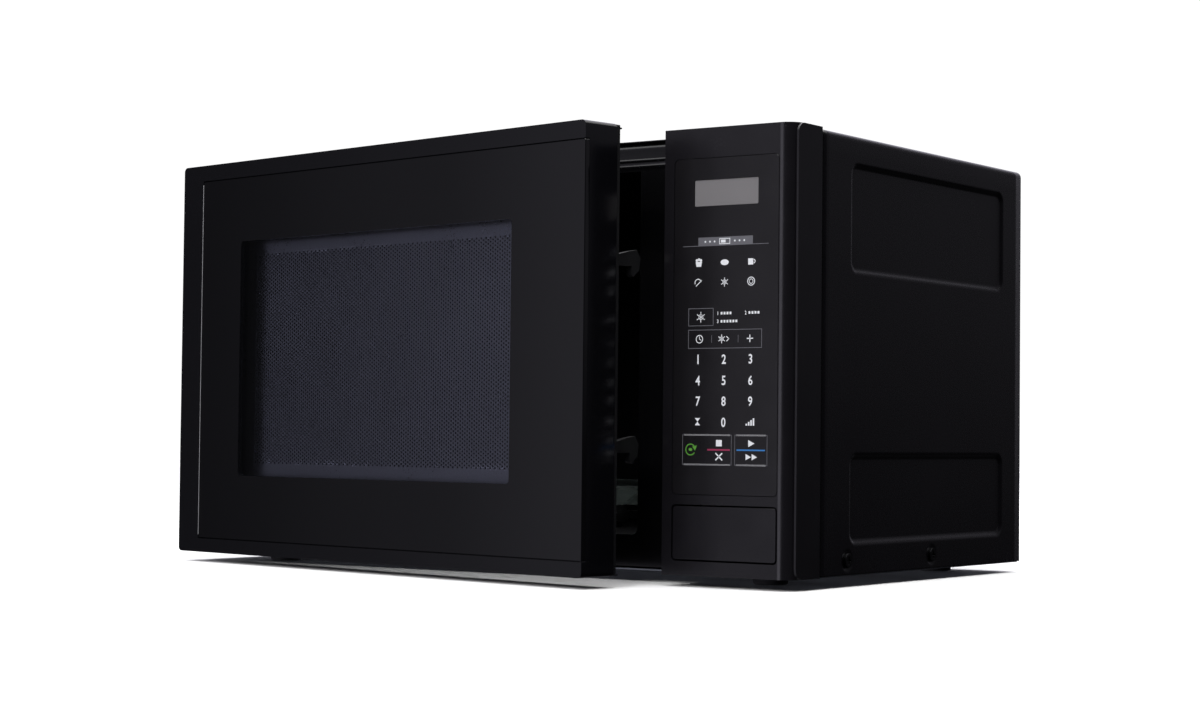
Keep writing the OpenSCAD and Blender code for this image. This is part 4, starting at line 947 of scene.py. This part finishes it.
class OVEN_OT_camera(OvenOperator, Operator):
    """Place the camera"""

    bl_idname = "oven.camera"
    bl_label = "Camera"

    def build(self, scene, finishes):
        stage = scene.oven_stage
        h, p, r = stage.heading, stage.pitch, stage.roll
        ahead = Vector((-math.sin(h) * math.cos(p), math.cos(h) * math.cos(p), math.sin(p)))
        right = ahead.cross(Vector((0, 0, 1))).normalized()
        up = right.cross(ahead)
        right, up = right * math.cos(r) - up * math.sin(r), up * math.cos(r) + right * math.sin(r)
        data = bpy.data.cameras.new("camera")
        data.lens = stage.lens
        data.sensor_width = 36.0
        data.clip_start, data.clip_end = 0.05, 50.0
        camera = bpy.data.objects.new("camera", data)
        scene.collection.objects.link(camera)
        camera.matrix_world = Matrix.Translation(stage.eye) @ Matrix((right, up, -ahead)).transposed().to_4x4()
        scene.camera = camera


class OVEN_OT_stage(OvenOperator, Operator):
    """Build the pale floor, the soft surroundings and the lights"""

    bl_idname = "oven.stage"
    bl_label = "Studio"

    def build(self, scene, finishes):
        stage = scene.oven_stage
        self.floor(scene)
        softbox = bpy.data.lights.new("overhead_softbox", "AREA")
        softbox.shape, softbox.size, softbox.energy = "SQUARE", 3.2, stage.overhead
        sky = bpy.data.lights.new("sky", "SUN")
        sky.angle, sky.energy = math.radians(60), stage.sun
        fill = bpy.data.lights.new("front_fill", "AREA")
        fill.shape, fill.size, fill.energy = "SQUARE", 0.8, stage.fill
        lamps = []
        for data, place in ((softbox, (0, 0, 1.9)), (sky, (0, 0, 3)), (fill, (0.5, -1.8, 0.9))):
            lamp = bpy.data.objects.new(data.name, data)
            lamp.location = place
            scene.collection.objects.link(lamp)
            lamps.append(lamp)
        # the fill brightens print and pale plastic, and isn't mirrored in the black gloss
        aim = Vector((0.1, 0, 0.1)) - lamps[2].location
        lamps[2].rotation_euler = aim.to_track_quat("-Z", "Y").to_euler()
        lamps[2].visible_glossy = False
        self.surroundings(scene)

    @staticmethod
    def floor(scene):
        reach = 6.0
        mesh = bpy.data.meshes.new("studio_floor")
        corners = [(x * reach, y * reach, 0) for x, y in ((-1, -1), (1, -1), (1, 1), (-1, 1))]
        mesh.from_pydata(corners, [], [(0, 1, 2, 3)])
        floor = bpy.data.objects.new("studio_floor", mesh)
        scene.collection.objects.link(floor)
        floor.location.z = -0.2 * MM
        mesh.materials.append(surface("matt_white_floor", "#f2f2f2", 0.9, 40.0, 0.01, 0.01, 0.02))
        # kept out of the light on the oven, so that its black sides stay black
        floor.visible_glossy = False
        floor.visible_diffuse = False

    @staticmethod
    def surroundings(scene):
        """White to the eye, and dark walls with a few soft panels for the black gloss to reflect."""
        world = bpy.data.worlds.new("studio")
        world.use_nodes = True
        scene.world = world
        tree = world.node_tree
        tree.nodes.clear()
        way = add(tree, "ShaderNodeTexCoord").outputs["Generated"]
        part = add(tree, "ShaderNodeSeparateXYZ", {"Vector": way}).outputs
        around = add(tree, "ShaderNodeMath", {0: part["Y"], 1: part["X"]}, operation="ARCTAN2").outputs[0]
        share = add(tree, "ShaderNodeMapRange", {"Value": around, "From Min": -math.pi, "From Max": math.pi})
        walls = add(tree, "ShaderNodeValToRGB", {"Fac": share.outputs["Result"]})
        # brightness of the walls by heading, in degrees
        stops = ((-180, 0.03), (-160, 0.04), (-155, 0.05), (-150, 0.13), (-145, 0.3), (-136, 0.36), (-124, 0.22), (-115, 0.22),
                 (-111, 1.5), (-101, 1.5), (-97, 0.03), (-80, 0.01), (24, 0.01), (36, 0.1), (48, 0.06), (58, 0.05),
                 (66, 0.06), (80, 0.1), (95, 0.45), (110, 0.8), (150, 0.8), (170, 0.06))
        ramp = walls.color_ramp
        ramp.interpolation = "EASE"
        while len(ramp.elements) > 1:
            ramp.elements.remove(ramp.elements[-1])
        for i, (angle, value) in enumerate(stops):
            stop = ramp.elements[0] if i == 0 else ramp.elements.new((angle + 180) / 360)
            stop.position = (angle + 180) / 360
            stop.color = (value, value * 0.97, value * 1.12, 1)
        # behind the oven the walls fade towards the floor
        fade = add(tree, "ShaderNodeMapRange", {"Value": part["Z"], "From Min": -0.06, "From Max": 0.12,
                                                "To Min": 0.15, "To Max": 1.3})
        behind = add(tree, "ShaderNodeMath", {0: part["Y"], 1: 0.0}, operation="GREATER_THAN").outputs[0]
        level = add(tree, "ShaderNodeMix", {0: behind, 2: 1.0, 3: fade.outputs["Result"]}).outputs[0]
        walls = add(tree, "ShaderNodeVectorMath", {0: walls.outputs["Color"], "Scale": level},
                    operation="SCALE").outputs[0]
        seen = add(tree, "ShaderNodeLightPath").outputs["Is Camera Ray"]
        white = add(tree, "ShaderNodeBackground", {"Color": (1, 1, 1, 1), "Strength": 1.05}).outputs[0]
        room = add(tree, "ShaderNodeBackground", {"Color": walls, "Strength": 1.0}).outputs[0]
        both = add(tree, "ShaderNodeMixShader", {0: seen, 1: room, 2: white}).outputs[0]
        add(tree, "ShaderNodeOutputWorld", {"Surface": both})


class OVEN_PT_panel(Panel):
    """Lists the oven's settings and the steps that build it"""

    bl_label = "Microwave oven"
    bl_idname = "OVEN_PT_panel"
    bl_space_type = "VIEW_3D"
    bl_region_type = "UI"
    bl_category = "Oven"

    def draw(self, context):
        for group, kind in GROUPS.items():
            box = self.layout.box()
            for key in kind.__annotations__:
                box.prop(getattr(context.scene, group), key)
        for step in STEPS:
            self.layout.operator(step.bl_idname)


STEPS = (
    OVEN_OT_camera,
    OVEN_OT_body,
    OVEN_OT_cabinet,
    OVEN_OT_panel_moulding,
    OVEN_OT_keypad,
    OVEN_OT_door,
    OVEN_OT_glass,
    OVEN_OT_screen,
    OVEN_OT_turntable,
    OVEN_OT_works,
    OVEN_OT_stage,
)
CLASSES = (*GROUPS.values(), *STEPS, OVEN_PT_panel)


def register():
    for one in CLASSES:
        bpy.utils.register_class(one)
    for name, kind in GROUPS.items():
        setattr(bpy.types.Scene, name, PointerProperty(type=kind))


def unregister():
    for name in GROUPS:
        delattr(bpy.types.Scene, name)
    for one in reversed(CLASSES):
        bpy.utils.unregister_class(one)


def main():
    register()
    bpy.context.scene.view_settings.view_transform = "Standard"
    bpy.ops.oven.camera()
    bpy.ops.oven.body()
    bpy.ops.oven.cabinet()
    bpy.ops.oven.panel_moulding()
    bpy.ops.oven.keypad()
    bpy.ops.oven.door()
    bpy.ops.oven.glass()
    bpy.ops.oven.screen()
    bpy.ops.oven.turntable()
    bpy.ops.oven.works()
    bpy.ops.oven.stage()
    bpy.context.view_layer.update()


if __name__ == "__main__":
    main()
